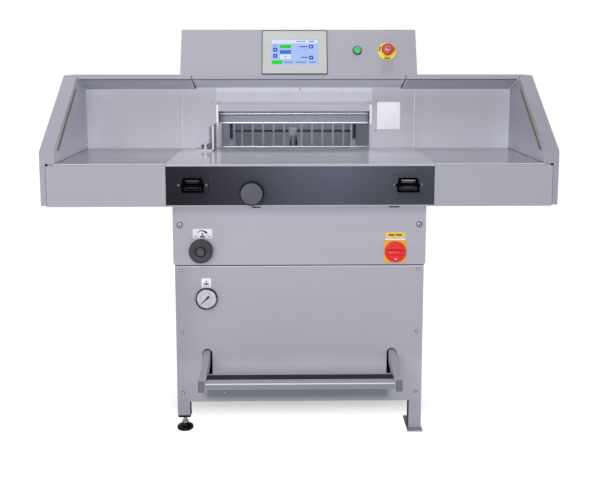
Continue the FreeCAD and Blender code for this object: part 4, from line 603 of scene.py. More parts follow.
# Model nodes that keep their shape

def dress(names, material, edge=0.0):
    """Gives nodes a finish and, with an edge, the small radius of folded or machined metal."""
    for name in names.split():
        item = nodes[name]
        item.data.materials.clear()
        item.data.materials.append(material)
        if edge:
            weld = item.modifiers.new("weld", "WELD")
            weld.merge_threshold = 0.00001
            bevel = item.modifiers.new("edge", "BEVEL")
            bevel.width = edge / 1000
            bevel.segments = 2
            bevel.limit_method = "ANGLE"
            bevel.angle_limit = math.radians(35)
            bevel.face_strength_mode = "FSTR_ALL"
            item.modifiers.new("normals", "WEIGHTED_NORMAL").use_face_influence = True


dress("side_covers rear_cover", paint, 0.5)
dress("front_lower_cover", paint_lower, 0.5)
dress("front_upper_cover", paint_upper, 0.5)
dress("pedal_frame", paint, 0.9)
# The side stop's faces towards +X and the legs' inner faces are painted darker: painted shade; the left leg
# is painted darker than the right: painted shade.
dress("side_stop", side_shaded_paint("side_stop", "X", 1, (158, 158, 176), (198, 198, 206)), 0.9)
dress("stand_left", side_shaded_paint("leg_left", "X", 1, (58, 58, 64), (141, 141, 151)), 0.9)
dress("stand_right", side_shaded_paint("leg_right", "X", -1, (58, 58, 64), (150, 150, 160)), 0.9)
dress("front_apron", paint_front, 0.9)
dress("side_table_left side_table_right", paint_top, 0.9)
# The left wing's inner face is painted lighter than the right one's: painted light.
dress("wing_left", wing_paint("wing_left", 1, (214, 214, 224), PAINT, (164, 164, 174)), 0.9)
dress("wing_right", wing_paint("wing_right", -1, (181, 181, 193), (162, 162, 172), (156, 156, 166)), 0.9)
dress("hood_panels", paint_hood, 0.9)
dress("head_cover", paint_head)
dress("wall_panels", paint_wall, 0.5)
dress("knife_cover", paint_knife, 0.5)
dress("main_table", paint_table, 0.8)
dress("fascia_panel", paint_dark)
dress("leg_caps power_inlet gauge_motor", black, 0.6)
dress("drip_tray valve_block", zinc, 0.5)
dress("gauge_carriage", carriage_grey, 0.5)
dress("hydraulic_cylinders pump_motor knife_carrier oil_tank", cast, 0.8)
dress("cutting_frame", cast, 0.5)
dress("side_guides", white_edge, 0.6)
dress("clamp_rods knife_piston_rod", steel, 0.6)
dress("clamp_beam", clamp_grey, 0.4)
dress("knife_blade", blade_steel)
dress("back_gauge", gauge_alu, 0.4)
dress("pedal_tread", alu, 0.6)
dress("light_curtains", amber)
dress("display_bezel", beige, 0.6)
dress("display_screen", screen_blue)
dress("rear_table_cover", guard_clear)


# Light curtain lenses in the wings' inner faces

def curtain_lens(width, proud, name, material):
    build = Build()
    reach = width / 2
    (foot, low), (head, high) = CURTAIN_FOOT, CURTAIN_HEAD
    ring = [(foot - reach, low), (foot + reach, low), (head + reach, high), (head - reach, high)]
    for side in (-1, 1):
        face = side * WING_INSIDE
        rings = [[(x, y + FRONT, z) for y, z in ring] for x in (face + side * 0.5, face - side * proud)]
        build.loft(MM, rings if side < 0 else rings[::-1])
    build.piece(name, material)


curtain_lens(19, 0.8, "curtain_frames", black)
curtain_lens(12, 1.4, "curtain_lenses", amber)


# Screws

def screw(build, place, radius, height):
    """A domed head with a hexagon socket."""
    dome = ((1, 0), (1, 0.25), (0.86, 0.28), (0.84, 0.62), (0.7, 0.9), (0.5, 1))
    build.loft(place, [circle(radius * share, height * level, 24) for share, level in dome]
               + [hexagon(radius * 0.42, height), hexagon(radius * 0.4, height * 0.45)])


def washer(build, place, radius):
    build.lathe(place, [(radius, 0), (radius, 0.5), (radius * 0.94, 0.8), (radius * 0.5, 0.8)], 36)


screws = Build()
rims = Build()
for side in (-1, 1):
    for x, height, size in ((374, 532, 1.0), (374, 329.5, 1.0), (374, 128, 1.0), (241.5, 128, 0.7)):
        at = facing(side * x, LOWER_FACE, height)
        washer(rims, at, 5.4 * size)
        screw(screws, at, 3.9 * size, 2.5 * size)
for x, height in ((6, 1090), (-291, 1049), (-266, 1049), (236, 1049), (261, 1049), (261, 950)):
    at = facing(x, WALL_FACE, height)
    washer(rims, at, 3.3)
    screw(screws, at, 2.4, 1.8)
screw_heads = screws.piece("screw_heads", screw_bright)
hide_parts("cover_screws")

back_screws = Build()
back_rims = Build()
places = [rearward(x, 840, 128) for x in (-125, 125)]
for side in (-1, 1):
    places += [rearward(side * 376, 840, height) for height in SCREW_HEIGHTS]
    places += [rearward(side * 350, 709.5, height) for height in (1070, 1262)]
    for y in (178, 816):
        places += [placed(side * 393, y, height, (0, side, 0), UP) for height in SCREW_HEIGHTS]
for at in places:
    washer(back_rims, at, 5.4)
    screw(back_screws, at, 3.9, 1.6)
back_screws.piece("back_screw_heads", screw_bright)
back_rims.piece("back_screw_rims", screw_rim)

locks = Build()
for side in (-1, 1):
    at = facing(side * 374, COVER_FACE, 680)
    rims.lathe(at, [(9.4, 0), (9.4, 1.8), (8.8, 2.5), (7.4, 2.5), (6.9, 1.2), (5.8, 1.2)], 40)
    locks.loft(at, [circle(6.2, 1.1, 30), circle(6, 2.2, 30), circle(5.4, 2.5, 30), hexagon(3.6, 2.5, 30),
                    hexagon(3.4, 1.2, 30)], end=False)
    rims.loft(at, [hexagon(3.4, 1.1), hexagon(3.2, 1.3)])
locks.piece("cover_locks", screw_bright)
rims.piece("screw_rims", screw_rim)


# Side stop: a wing screw on its foot, with the flange behind it

Build().lathe(upright(-309.6, 327, 894), [
    (6, 0), (6, 1.4), (4, 2.2), (3.6, 13), (4, 14), (3.8, 18), (3, 19.6), (1.6, 20),
], 32).piece("stop_screw_hub", edge_white)
wings = Build()
plates = Build()
for x, height, reach, thick in ((-317.6, 904.5, 6.6, 1.6), (-297, 905.5, 8.8, 1.8)):
    at = facing(x, 338, height)
    wings.lathe(at, [
        (reach - 3, -thick), (reach - 2, -thick - 0.6), (reach - 0.8, -thick), (reach, 0),
        (reach - 0.8, thick), (reach - 2, thick + 0.6), (reach - 3, thick),
    ], 40, start=False, end=False)
    wings.lathe(at, [(2.2, -0.8), (2.2, 1.6), (1.4, 2)], 24)
    plates.lathe(at, [(reach - 1.6, -1), (reach - 1.6, 1), (reach - 2.4, 1.2)], 40)
wings.piece("stop_screw_rims", socket_dark)
plates.piece("stop_screw_wings", flange_grey)

# The upright's rear flange, screwed to the column, with a sloping top
ring = [(-303, 894.5), (-283.4, 894.5), (-283.4, 974.5), (-303, 964)]
flange = Build()
flange.loft(MM, [[(x, y + FRONT, z) for x, z in ring] for y in (398.4, 395.6)])
flange.lathe(facing(-290.5, 395.4, 940), [(3.2, 0), (3.2, 0.8), (2.6, 1.6), (1.2, 1.8)], 24)
flange.piece("stop_flange", flange_grey)


# Levelling feet, and the collars of the legs above them

def levelling_foot(end):
    body = "foot_" + end
    at = upright(*FEET[end])
    base = Build().lathe(at, [
        (24.5, 0), (26, 1.2), (26, 7.5), (25, 9), (21, 10.5), (15, 14.5), (11.5, 18.5), (10.5, 20),
    ]).piece(body + "_pad", black, body)
    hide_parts("levelling_foot_" + end)
    stem = Build().loft(at, [hexagon(9.5, 20), hexagon(10.5, 20.8), hexagon(10.5, 26.2), hexagon(9.5, 27)])
    ridges = []
    for turn in range(29):
        low = 27 + turn * 1.8
        ridges += [(5.3, low), (6.0, low + 0.6), (6.0, low + 1.1)]
    stem.lathe(at, ridges, 24).piece(body + "_stem", steel, body)


collars = Build()
for end in FEET:
    levelling_foot(end)
    collars.slabs(upright(*FEET[end]), [
        (38.4, 38.4, 1.5, 44.6), (39.6, 39.6, 1.5, 45.4), (39.6, 39.6, 1.5, 53.4), (38.4, 38.4, 1.5, 54),
    ])
collars.piece("leg_cap_collars", shroud_black)


# Bars along X that are fitted to the model's own boxes, in metres

# Pedal rubber with fine ribs
low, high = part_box("pedal_rubber")
ribs = 8
low.y -= 0.0045
depth = (high.y - low.y) / ribs
base = high.z - 0.0013
outline = [(low.y, low.z + 0.0031)]
for rib in range(ribs):
    start = low.y + rib * depth
    for share, z in ((0.05, base), (0.22, high.z), (0.78, high.z), (0.95, base)):
        outline.append((start + depth * share, z))
outline.append((high.y, low.z))
item = Build().prism(outline[::-1], low.x, high.x).piece("pedal_rubber_ribbed", rubber, "pedal")
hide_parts("pedal_rubber")

# The cutting stick, flush in its groove and a little free of its sides
low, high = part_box("cutting_stick")
near, far = low.y + 0.0002, high.y - 0.0002
base, top = low.z + 0.0002, high.z - 0.0001
soft = 0.0012
outline = [(near, base), (far, base), (far, top - soft), (far - soft, top), (near + soft, top),
           (near, top - soft)]
item = Build().prism(outline, low.x, high.x).piece("stick_bar", stick_white, "stick")
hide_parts("cutting_stick")

# Bars along the clamp foot's upper and lower chamfers, polished, whose near-white brightness is partly a
# painted highlight
low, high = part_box("clamp_beam")
inside = low.y + 0.006
build = Build()
for centre, reach in ((low.z + 0.0042, 0.0032), (low.z + 0.0362, 0.0034)):
    turns = [math.pi * step / 11 for step in range(12)]
    ring = [(low.y + 0.0006 - 0.0016 * math.sin(turn), centre - reach * math.cos(turn)) for turn in turns]
    ring += [(inside, centre + reach * 0.6), (inside, centre - reach * 0.6)]
    build.prism(ring[::-1], low.x + 0.001, high.x - 0.001)
build.piece("clamp_polish_highlights", edge_white, "clamp")

# The extrusion's nose: a flat ledge, a bead and the ribbed front below it
low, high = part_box("pedal_tread")
section = [
    (0.001, -0.0218), (-0.0008, -0.0214), (-0.0012, -0.0206), (-0.0012, -0.0150), (-0.0006, -0.0146),
    (-0.0006, -0.0141), (-0.0012, -0.0137), (-0.0012, -0.0066), (-0.0006, -0.0062), (-0.0006, -0.0056),
    (-0.0016, -0.0050), (-0.0024, -0.0038), (-0.0024, -0.0026), (-0.0016, -0.0014), (-0.0002, -0.0010),
    (0.0008, -0.0006), (0.0016, 0.0004), (0.0022, 0.0006), (0.0242, 0.0006), (0.0248, -0.0001),
]
ring = [(low.y + y, high.z + z) for y, z in reversed(section)]
Build().prism(ring, low.x + 0.0004, high.x - 0.0004).piece("tread_lip", tread_bright, "pedal", 20)

# Moulded end pieces on the pedal arms' square tubes
build = Build()
for side in (-1, 1):
    build.slabs(facing(side * 299, 0, 212), [
        (20.6, 35.6, 2, 0), (20.6, 35.6, 2, 1.4), (19.4, 34.4, 1.8, 2.2), (15, 30, 1.4, 2.2),
        (14.2, 29.2, 1.2, 1.6),
    ])
build.piece("pedal_arm_caps", cap_grey, "pedal")


# Sheet edges: bright bars along edges, which are painted highlights, and dark bars beside them, which are
# painted shadow in seams, slots, corners and under the hood's lip

def run(build, ring, start, end):
    """A bar along X whose section is a ring of depth and height."""
    build.prism([(y + FRONT, z) for y, z in reversed(ring)], *sorted((start, end)), MM)


def bar(build, x_start, x_end, y_low, y_high, z_low, z_high):
    soft = min(abs(x_end - x_start), y_high - y_low, z_high - z_low) * 0.3
    run(build, [
        (y_low + soft, z_low), (y_high - soft, z_low), (y_high, z_low + soft), (y_high, z_high - soft),
        (y_high - soft, z_high), (y_low + soft, z_high), (y_low, z_high - soft), (y_low, z_low + soft),
    ], x_start, x_end)


highlight_bars, table_edges, notch_shadows, polish, gap_shadows, hem_shadows = (Build() for kind in range(6))
# The side tables' rolled front edges: real beads, whose tone, lighter than the tops, is partly a painted
# highlight.
rolled = [(3.4, 888), (3.4, 890.8), (2.2, 891.7), (0.4, 891.5), (-0.5, 890.6), (-0.6, 889), (0.3, 888)]
for side in (-1, 1):
    run(table_edges, rolled, side * 394, side * 716)
    bar(highlight_bars, side * 714, side * 715.8, 396.8, 399.2, 892, 1091)
    bar(highlight_bars, side * 347.5, side * 715, 396.4, 399.2, 1088.6, 1091.4)
    bar(gap_shadows, 714.4 if side > 0 else -715.2, side * 716.2, 2, 396, 890.8, 891.5)
    bar(notch_shadows, side * 734, side * 741.6, -0.7, 2, 885, 891.4)
    bar(gap_shadows, side * 716, side * 736, -0.4, 1, 890.4, 891.6)
    bar(hem_shadows, side * 740.6, side * 741.8, -0.3, 1, 770, 886)
    run(hem_shadows, [(292.6, 1127.6), (301.5, 1124.6), (301.5, 1125.6), (292.6, 1128.6)],
        side * 349, side * 715.5)
    run(polish, [(293, 1125.6), (398, 1090), (398, 1092.4), (293, 1128)], side * 711.5, side * 715.7)
run(hem_shadows, [(292.6, 1127.8), (301.5, 1125.2), (301.5, 1126.2), (292.6, 1128.8)], -345.8, 345.8)
bar(highlight_bars, -345.5, 345.5, 396.4, 399.2, 1094.8, 1097.4)
bar(gap_shadows, -392.8, 392.8, 151.5, 153, 546, 548.8)
run(polish, [(440.6, 890.8), (443.8, 890.8), (443.8, 892.2), (441.1, 892.4)], -281, 250)
bar(highlight_bars, -392.8, 392.8, 151.4, 153, 542, 545.4)
bar(highlight_bars, -285.6, -279.9, 311.2, 313, 891.4, 976)
bar(highlight_bars, -342.9, -280, 311.2, 313, 891.2, 895.6)
for low, high in ((-139.3, -116.5), (261.6, 285.8)):
    bar(notch_shadows, low, high, 1, 12, 760.4, 764.8)
strip_face = Build()
bar(strip_face, -271.6, -261.5, 399.4, 407.5, 891.3, 975)
strip_face.piece("throat_strip_inner", trim_table)
highlight_bars.piece("sheet_edge_highlights", edge_highlight)
table_edges.piece("table_rolled_edges", trim_table)
notch_shadows.piece("table_notch_shadows", shroud_black)
polish.piece("table_highlight_line", edge_white)
gap_shadows.piece("sheet_gap_shadows", gap_shade)
hem_shadows.piece("hood_hem_shadows", hem_shadow_grey)

# A rubber seal inside the rear guard's lower edge
low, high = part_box("rear_table_cover")
thick, inset, tall = 0.006, 0.0056, 0.040
base = low.z + 0.0004
back = high.y - inset
build = Build()
for x in (low.x + inset, high.x - inset - thick):
    side_ring = [(low.y + 0.06, base), (back, base), (back, base + tall), (low.y + 0.06, base + tall)]
    build.prism(side_ring[::-1], x, x + thick)
ring = [(back - thick, base), (back, base), (back, base + tall - 0.002), (back - thick, base + tall)]
build.prism(ring[::-1], low.x + inset + thick, high.x - inset - thick)
build.piece("guard_seal", dial_grey, "rear_guard")

# The rear guard's handle
at = rearward(0, 1090, 955)
grip = Build()
for x in (-48, 48):
    grip.slabs(moved(at, x, 0), [(12, 12, 3, -0.5), (11, 11, 3, 6.2)])
grip.slabs(at, [(112, 12, 4, 4.2), (114, 14, 5, 5), (114, 14, 5, 7.4), (111, 11, 4, 8.8)])
grip.piece("guard_handle", black, "rear_guard")


# Controls on the covers

def shroud(side, glint_material):
    """A hand button's black hood on its plate."""
    at = facing(*BUTTONS[side])
    plate = Build().loft(at, [
        oblong(92, 55, 5, 0.0), oblong(92, 55, 5, 2.4), oblong(90.8, 53.8, 4.6, 3),
        trapezoid(62, 52, 42, 3, 3),
    ])
    plate.piece(f"shroud_{side}_plate", paint_dark)
    rim = Build()
    for rows in (
        ((64, 54, 40.5, 4, -23.5), (66, 56, 42, 5, 0), (66, 56, 42, 5, 14.6), (64.6, 54.6, 40.6, 4.6, 15.8),
         (63.4, 53.4, 39.4, 4.2, 16), (57, 47, 35, 4, 16), (55.6, 45.6, 33.6, 3.6, 15.4), (54, 44, 32, 3, 8),
         (54, 44, 32, 3, -19), (20, 20, 20, 3, -19)),
        ((76, 66, 10, 3, 2.9), (74, 64, 9, 3, 6), (70, 60, 7, 2.4, 9)),
    ):
        rim.loft(at, [trapezoid(*row) for row in rows])
    hood = rim.piece(f"shroud_{side}_rim", shroud_black)
    heads = Build()
    for offset in (-40.5, 40.5):
        screw(heads, moved(at, offset, 0, 3), 3.6, 1.2)
    heads.piece(f"shroud_{side}_screws", shroud_screw)
    # A bar under the top of the hood's opening, in the given material: a painted highlight.
    glint = Build().slabs(moved(at, 0, 13.2), [(40, 3.4, 1, 4.2), (39, 3, 0.9, 5.2)])
    glint.piece(f"shroud_{side}_edge", glint_material)
    return hood


def hand_button(side):
    at = facing(*BUTTONS[side])
    cap = Build().slabs(at, [
        (42, 30, 3, -10), (42, 29.4, 3, 1.6), (41, 28.6, 2.6, 3.2), (39, 27, 2.2, 4), (36, 24, 2, 3.8),
        (34, 22, 2, 2.8), (20, 10, 2, 2.2),
    ])
    item = cap.lathe(at, [(5, -26), (5, -9)], 24).piece(f"hand_{side}_cap", shroud_black, "hand_" + side)
    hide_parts("hand_button_" + side)


# Pressure knob
at = facing(*KNOB)
wheel = Build().lathe(at, [
    (31, 0.4), (35, 0.6), (36.6, 2.5, 0.004), (37, 12, 0.006), (36.8, 20, 0.006), (36, 24, 0.002),
    (34.2, 25.8), (33, 26.1), (17.8, 24.6), (17, 24.2), (16.4, 20.5), (6, 20.5),
], 96, waves=48)
item = wheel.lathe(at, [(5, -70), (5, 0.5)], 24).piece("pressure_knob_wheel", dark, "pressure_knob")
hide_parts("pressure_knob")
Build().lathe(at, [
    (16.3, 20.6), (16.3, 21), (14.4, 21.2), (14.2, 26.9), (14, 27.4), (13, 27.6),
]).piece("pressure_knob_ring", black, "pressure_knob")
Build().lathe(at, [
    (12.9, 26.5), (12.8, 27.8), (12.4, 28), (11.7, 28),
]).piece("pressure_knob_cap", hub_grey, "pressure_knob")

# Pressure gauge with its scale and glass
at = facing(*GAUGE)
item = Build().lathe(at, [
    (28.6, -38), (28.6, 0), (34.5, 0), (34.5, 10.2), (34.1, 11.2), (33.2, 12), (31.9, 12), (31.2, 11.4),
    (31, 10.8), (31, 5), (29, 5),
]).piece("gauge_bezel", black)
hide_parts("pressure_gauge")
Build().lathe(at, [(30.95, 5), (30.95, 5.2)]).piece("gauge_face", dial_white)
first, sweep, level = 225, 270, 5.25
marks = Build()
for step in range(51):
    inner, outer, width = (20.2, 21.4, 0.25) if step % 5 else (19.8, 22.4, 0.5)
    marks.tick(at, first - sweep * step / 50, inner, outer, width, level)
marks.piece("gauge_marks", mark_grey)
rings = Build().arc(at, first, first - sweep, 18.6, 19.6, level, 60)
for low, reach in ((-17.5, 7.5), (-20.5, 5)):
    rings.strip(at, -reach, low, reach, low + 1.2, level)
rings.piece("gauge_inner_scale", scale_rose)
for step in range(6):
    name = f"gauge_number_{step}"
    curve = bpy.data.curves.new(name, "FONT")
    curve.body = str(step * 50)
    curve.size = 4.2
    curve.extrude = 0.03
    curve.align_x = "CENTER"
    curve.align_y = "CENTER"
    curve.materials.append(mark_grey)
    number = shown(name, curve)
    number.matrix_world = moved(at, *polar(math.radians(first - sweep * step / 5), 15), level)
    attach(number, "machine")
Build().lathe(at, [(1.4, 5), (1.4, 9.8), (1.0, 10)], 20).piece("gauge_pivot", zinc)
Build().lathe(at, [(31, 10.9), (31, 11.3), (18, 11.6)]).piece("gauge_lens", lens_clear)

# The gauge's needle
at = facing(*GAUGE) @ Matrix.Rotation(math.radians(225), 4, "Z")
outline = [(-12, -2.8), (-10, -3.4), (-4, -3.1), (0, -2), (24, -0.8), (24, 0.8), (0, 2), (-4, 3.1),
           (-10, 3.4), (-12, 2.8)]
hub = [(3.4, 7.8), (3.4, 9.0), (2.8, 9.2), (1.6, 9.2), (1.6, 7.8)]
build = Build().flat(at, outline, 8.0, 0.7)
item = build.lathe(at, hub, 32, start=False, end=False).piece("needle_tapered", black, "needle")
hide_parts("gauge_needle")

# Main switch
at = facing(*SWITCH)
item = Build().slabs(at, [
    (48, 48, 2, -50), (48, 48, 2, 0), (69, 69, 4, 0), (69, 69, 4, 2.2), (67.6, 67.6, 3.6, 3),
]).piece("switch_square", yellow)
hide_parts("switch_plate")
knob = Build().lathe(at, [
    (5, -28), (5, 3.4), (33, 3.4), (33, 10), (32.4, 12.4), (31, 14.2), (29.5, 15), (28.6, 15), (28, 14.3),
    (27.4, 14.3),
])
knob.slabs(at, [(52.8, 15, 6, 14.2), (52.4, 14, 6, 19), (51, 12.6, 5.6, 22.4), (48, 10, 4.6, 23.3)])
turner = knob.piece("switch_turner", red, "main_switch")
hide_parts("switch_knob")
groove = Build()
for start, end, inner, outer in ((150, 30, 23.6, 25.2), (-30, -150, 23.6, 25.2), (142, 38, 14.6, 15.8)):
    groove.arc(at, start, end, inner, outer, 14.3, 30)
for level in (-9, 9):
    groove.tick(moved(at, 0, level), 0, -24, 24, 1.5, 14.35)
groove.piece("switch_grooves", red_dark, "main_switch")
dot = Build().lathe(moved(at, 0, -21.5), [(2.6, 14.2), (2.6, 14.7), (2.2, 14.9)], 24)
dot.piece("switch_dot", sticker, "main_switch")

left_hood = shroud("left", hub_grey)
shroud("right", glint_grey)
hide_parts("button_shrouds")
hand_button("left")
hand_button("right")

# Fine dial
at = facing(*DIAL)
wheel = Build().lathe(at, [
    (33.5, 0.4), (34.6, 1.2), (34.8, 3, 0.004), (34.8, 24, 0.004), (34.7, 26.2), (34, 27.6), (33.2, 28),
    (32.4, 27.6), (32, 26.4), (31.6, 25.4),
], 144, waves=72)
item = wheel.lathe(at, [(6, -17), (6, 0.6)], 24).piece("fine_dial_wheel", black, "dial")
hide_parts("fine_dial")
face = Build().lathe(at, [(31.8, 25.3), (31.8, 26), (31.2, 26.4), (20, 26.7)], 96)
face.piece("fine_dial_face", dial_grey, "dial")


# Controls on the head

# Start button in its ring
at = on_panel(191, 86)
item = Build().lathe(at, [
    (15.5, 0), (15.5, 2.8), (14.8, 3.8), (13.6, 4.1), (12.6, 3.8), (12.3, 3.2), (12.3, 0.6), (6.4, 0.6),
]).piece("start_ring", dial_grey)
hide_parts("start_bezel")
cap = Build().lathe(at, [
    (6, -17), (6, 2.7), (11.9, 2.9), (12, 5.6), (11.4, 6.8), (10, 7.3), (8, 7.1), (4, 6.8),
]).piece("start_cap", green, "start")
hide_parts("start_button")

# Emergency stop
at = on_panel(288, 83)
plate = Build().lathe(at, [
    (12.4, 0), (30, 0), (30, 1.9), (29.3, 2.5), (12.4, 2.5),
], 96, start=False, end=False)
item = plate.piece("stop_plate", signal_yellow)
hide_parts("estop_plate")
head = Build().lathe(at, [(12, -19), (12, 15), (17, 15.6), (19.2, 16.6)], end=False)
head.lathe(at, [
    (19.2, 16.6), (20, 18), (20, 22.5), (19.4, 25.4), (17.6, 27.9), (15, 29.2), (11, 29.9), (8.6, 30),
    (8.2, 29.4),
], start=False)
mushroom = head.piece("stop_mushroom", stop_red, "estop")
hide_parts("estop_button")
Build().lathe(at, [(8, 29.2), (8, 29.6), (7.2, 29.9), (3, 29.9)], 40).piece("stop_centre", zinc, "estop")
Build().lathe(at, [(4.2, 29.8), (4.2, 30.05), (3.6, 30.15)], 32).piece("stop_dimple", hub_grey, "estop")
marks = Build()
for middle in (-90, 20, 160):
    for step in range(4):
        marks.tick(at, middle - 16.5 + 11 * step, 23, 28, 4, 2.55)
marks.piece("stop_marks", ink)

# The screen's frame line and plain blocks of colour, which stand for what it shows
rim = Build().slabs(on_panel(-14, 79), [
    (213, 152, 3, 0.0), (213, 152, 3, 5.0), (212, 151, 2.6, 5.6), (209.4, 148.4, 2, 5.6),
    (208.6, 147.6, 1.8, 5.0),
], start=False, end=False)
rim.piece("display_rim", outline_grey)
glass = on_panel(-89.5, 35)
for name, material, level, spots in (
    ("header", screen_white, 4.0, [(0.6, 74, 151.4, 86.4), (27.5, 20, 64, 36)]),
    ("go", screen_green, 4.0, [(27.5, 57.5, 64, 69.5), (1, 2.6, 36.5, 15.4)]),
    ("bar", screen_bar, 4.0, [(27.5, 38, 64, 51)]),
    ("keys", screen_navy, 4.0, [
        (6, 46, 19.5, 59.5), (6, 24, 19.5, 37.5), (122.7, 56.8, 135.5, 69.4), (122.7, 18.6, 135.5, 31),
    ]),
    ("dots", screen_white, 4.06, [
        (10.8, 50.6, 14.8, 54.8), (10.8, 28.6, 14.8, 32.8), (127.4, 60, 130.8, 66),
        (127.4, 22.6, 130.8, 27),
    ]),
    ("dashes", screen_ink, 4.06, [
        (42, 7.4, 70, 10.4), (79, 7.4, 112, 10.4), (124, 7.4, 144, 10.4), (92, 61, 118, 65),
        (97, 24, 118, 28), (40, 26.5, 50, 28.6), (6, 65.5, 17, 67.8), (82, 79, 112, 81.6),
        (122, 79, 140, 82.4), (86, 54, 122, 54.6),
    ]),
):
    build = Build()
    for spot in spots:
        build.strip(glass, *spot, level)
    build.piece("screen_" + name, material)


# Stickers: bare plates, with a scale arc at the knob and a plain gauge sign

def label(name, place, width, height, radius, material):
    Build().slabs(place, [
        (width, height, radius, 0.0), (width, height, radius, 0.25),
        (width - 0.4, height - 0.4, radius, 0.35),
    ]).piece("label_" + name, material)


label("wall", facing(305.6, WALL_FACE, 1001), 78, 92, 4, sticker)
label("knob", facing(*KNOB_LABEL), 61, 30, 1, sticker)
label("gauge", facing(*GAUGE_LABEL), 30, 31, 1, sticker)
label("switch", facing(*SWITCH_LABEL), 61, 18.5, 1.5, label_yellow)
label("switch_strip", moved(facing(*SWITCH_LABEL), 0, -14), 64, 5.5, 0.6, sticker)

# Sheet piles with an arrow that presses on them, the knob's scale, and bars in place of words
build = Build()
level = 0.36
knob_sign = moved(facing(*KNOB_LABEL), 0, -8)
build.arc(knob_sign, 150, 32, 17.6, 18.8, level, 24, -5.4)
for sign, rise, lefts, width, low, high in (
    (knob_sign, 3, (-26, 17), 9, -2, 0),
    (moved(facing(*GAUGE_LABEL), 0, 1.5), 0, (-10, -2, 6), 4, -13, -11.4),
):
    pile = moved(sign, 0, rise)
    for sheet in (-8, -5.8, -3.6):
        build.strip(pile, -7.5, sheet, 7.5, sheet + 1.8, level)
    build.strip(pile, -1.4, 1, 1.4, 7, level)
    build.flat(pile, [(-3.2, 3), (0, -1), (3.2, 3)], level)
    for left in lefts:
        build.strip(sign, left, low, left + width, high, level)
for left, right in ((-21, -3), (1, 21)):
    build.strip(facing(*SWITCH_LABEL), left, -2.2, right, 2.4, level)
build.piece("label_prints", ink)


# Gauge drive under the table

# A four-start thread of 20 mm lead
at = placed(-16, 465, 868, FACE_SIDE, (0, 0, -1))
starts, pitch = 4, 5
length, around = 584.5, 24
steps = int(length / 1.25)
rings = []
for level in range(steps + 1):
    height = length * level / steps
    ring = []
    for step in range(around):
        phase = (height / pitch - starts * step / around) % 1
        reach = 8 - 1.1 * min(1, max(0, 2.2 * abs(phase - 0.5) * 2 - 0.6))
        ring.append((*polar(2 * math.pi * step / around, reach), height))
    rings.append(ring)
item = Build().loft(at, rings).piece("leadscrew_thread", screw_steel, "leadscrew", 50)
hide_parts("gauge_leadscrew")

# A folded pan under the table that closes the gauge slot from below
Build().slabs(placed(-16, 943, 851, FACE_SIDE, (0, -1, 0)), [
    (78, 202, 3, -0.2), (78, 202, 3, 1.2), (56, 188, 5, 1.6), (52, 184, 5, 9), (50, 182, 4, 10),
]).piece("slot_tray", black)


# Floor, light and camera

def show_camera(tree, seen, otherwise, output):
    """Gives the camera one shader and all other rays another."""
    factor = node(tree, "LightPath", "Is Camera Ray")
    mixed = node(tree, "MixShader", "Shader", {"Fac": factor, 1: otherwise, 2: seen})
    put(tree, tree.nodes[output].inputs["Surface"], mixed)


def light(name, spot, target, width, height, power, spread=180):
    lamp = bpy.data.lights.new(name, "AREA")
    lamp.shape = "RECTANGLE"
    lamp.size = width
    lamp.size_y = height
    lamp.energy = power
    lamp.spread = math.radians(spread)
    item = shown(name, lamp)
    item.location = spot
    item.rotation_euler = (Vector(target) - Vector(spot)).to_track_quat("-Z", "Y").to_euler()


# A pale floor: darker under the machine, white further out, and plain where the camera isn't looking
mesh = bpy.data.meshes.new("floor")
mesh.from_pydata([(-30, -30, 0), (30, -30, 0), (30, 30, 0), (-30, 30, 0)], [], [(0, 1, 2, 3)])
item = shown("floor", mesh)
material = bpy.data.materials.new("floor_mat")
material.use_nodes = True
tree, inputs = parts(material)
put(tree, inputs["Roughness"], 0.7)
put(tree, inputs["Specular IOR Level"], 0.1)
put(tree, inputs["Base Color"], (0.88, 0.88, 0.89, 1))
shade = tree.nodes["Principled BSDF"].outputs["BSDF"]
vector = node(tree, "TexCoord", "Object")
origin = (0, 0, 0)
for operation, value in (
    ("ADD", (0, -0.09, 0)), ("ABSOLUTE", origin), ("SUBTRACT", (0.35, 0.25, 0)), ("MAXIMUM", origin),
):
    vector = node(tree, "VectorMath", "Vector", {0: vector, 1: value}, operation=operation)
distance = node(tree, "VectorMath", "Value", {0: vector}, operation="LENGTH")
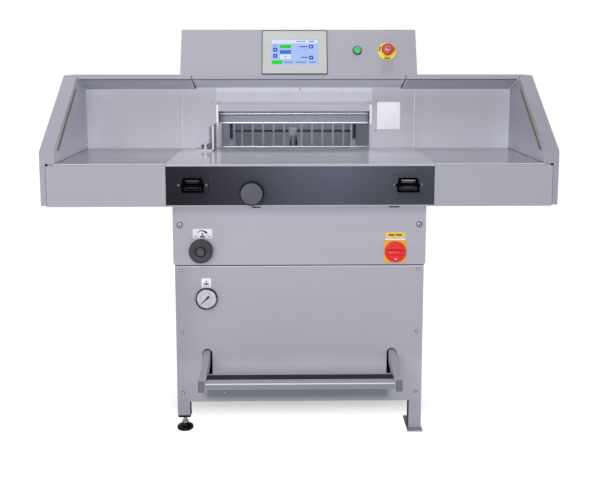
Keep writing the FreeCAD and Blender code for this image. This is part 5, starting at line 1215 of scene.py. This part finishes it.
share = ranged(tree, distance, 0.0, 0.15, 0.42, 0.93, interpolation_type="SMOOTHSTEP")
white = node(tree, "Emission", "Emission", {"Color": (1, 1, 1, 1), "Strength": 1.1})
near = node(tree, "MixShader", "Shader", {"Fac": share, 1: shade, 2: white})
plain = node(tree, "BsdfDiffuse", "BSDF", {"Color": (0.8, 0.8, 0.81, 1)})
show_camera(tree, near, plain, "Material Output")
item.data.materials.append(material)
item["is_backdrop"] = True

# Soft light from all around, a little brighter above, behind a white background
world = bpy.data.worlds.new("studio")
bpy.context.scene.world = world
world.use_nodes = True
tree = world.node_tree
height = ranged(tree, reach_along(tree, "Z", "Generated"), -1, 1)
ramp = node(tree, "ValToRGB", "Color", {"Fac": height})
marks = ramp.node.color_ramp.elements
for mark, place, color in zip(marks, (0.42, 0.95), ((0.78, 0.78, 0.79, 1), (1.0, 1.0, 1.01, 1))):
    mark.position = place
    mark.color = color
background = tree.nodes["Background"]
put(tree, background.inputs["Color"], ramp)
put(tree, background.inputs["Strength"], 0.575)
white = node(tree, "Background", "Background", {"Color": (1, 1, 1, 1), "Strength": 1.0})
show_camera(tree, white, background.outputs["Background"], "World Output")

light("front_light", (-1.2, -6.6, 1.95), (0, 0, 0.9), 5.0, 2.9, 164)
light("rear_light", (0, 0.2, 4.4), (0, 0.42, 0.9), 1.2, 0.7, 6, 26)
light("key_light", (-0.7, -3.4, 3.1), (0, 0, 0.9), 1.6, 1.0, 16)

SENSOR = 36
PHOTO_WIDTH = 600
FOCAL_PIXELS = 802.4
TILT_DOWN = 0.1257
TURN_RIGHT = 0.0151
camera_data = bpy.data.cameras.new("camera")
camera = shown("camera", camera_data)
camera.location = (-0.03618, -2.85354, 1.20681)
camera.rotation_euler = (math.pi / 2 - TILT_DOWN, 0, -TURN_RIGHT)
camera_data.sensor_width = SENSOR
camera_data.lens = SENSOR * FOCAL_PIXELS / PHOTO_WIDTH
camera_data.shift_y = -0.14
camera_data.clip_end = 100
bpy.context.scene.camera = camera
bpy.context.scene.view_settings.view_transform = "Standard"

low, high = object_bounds()
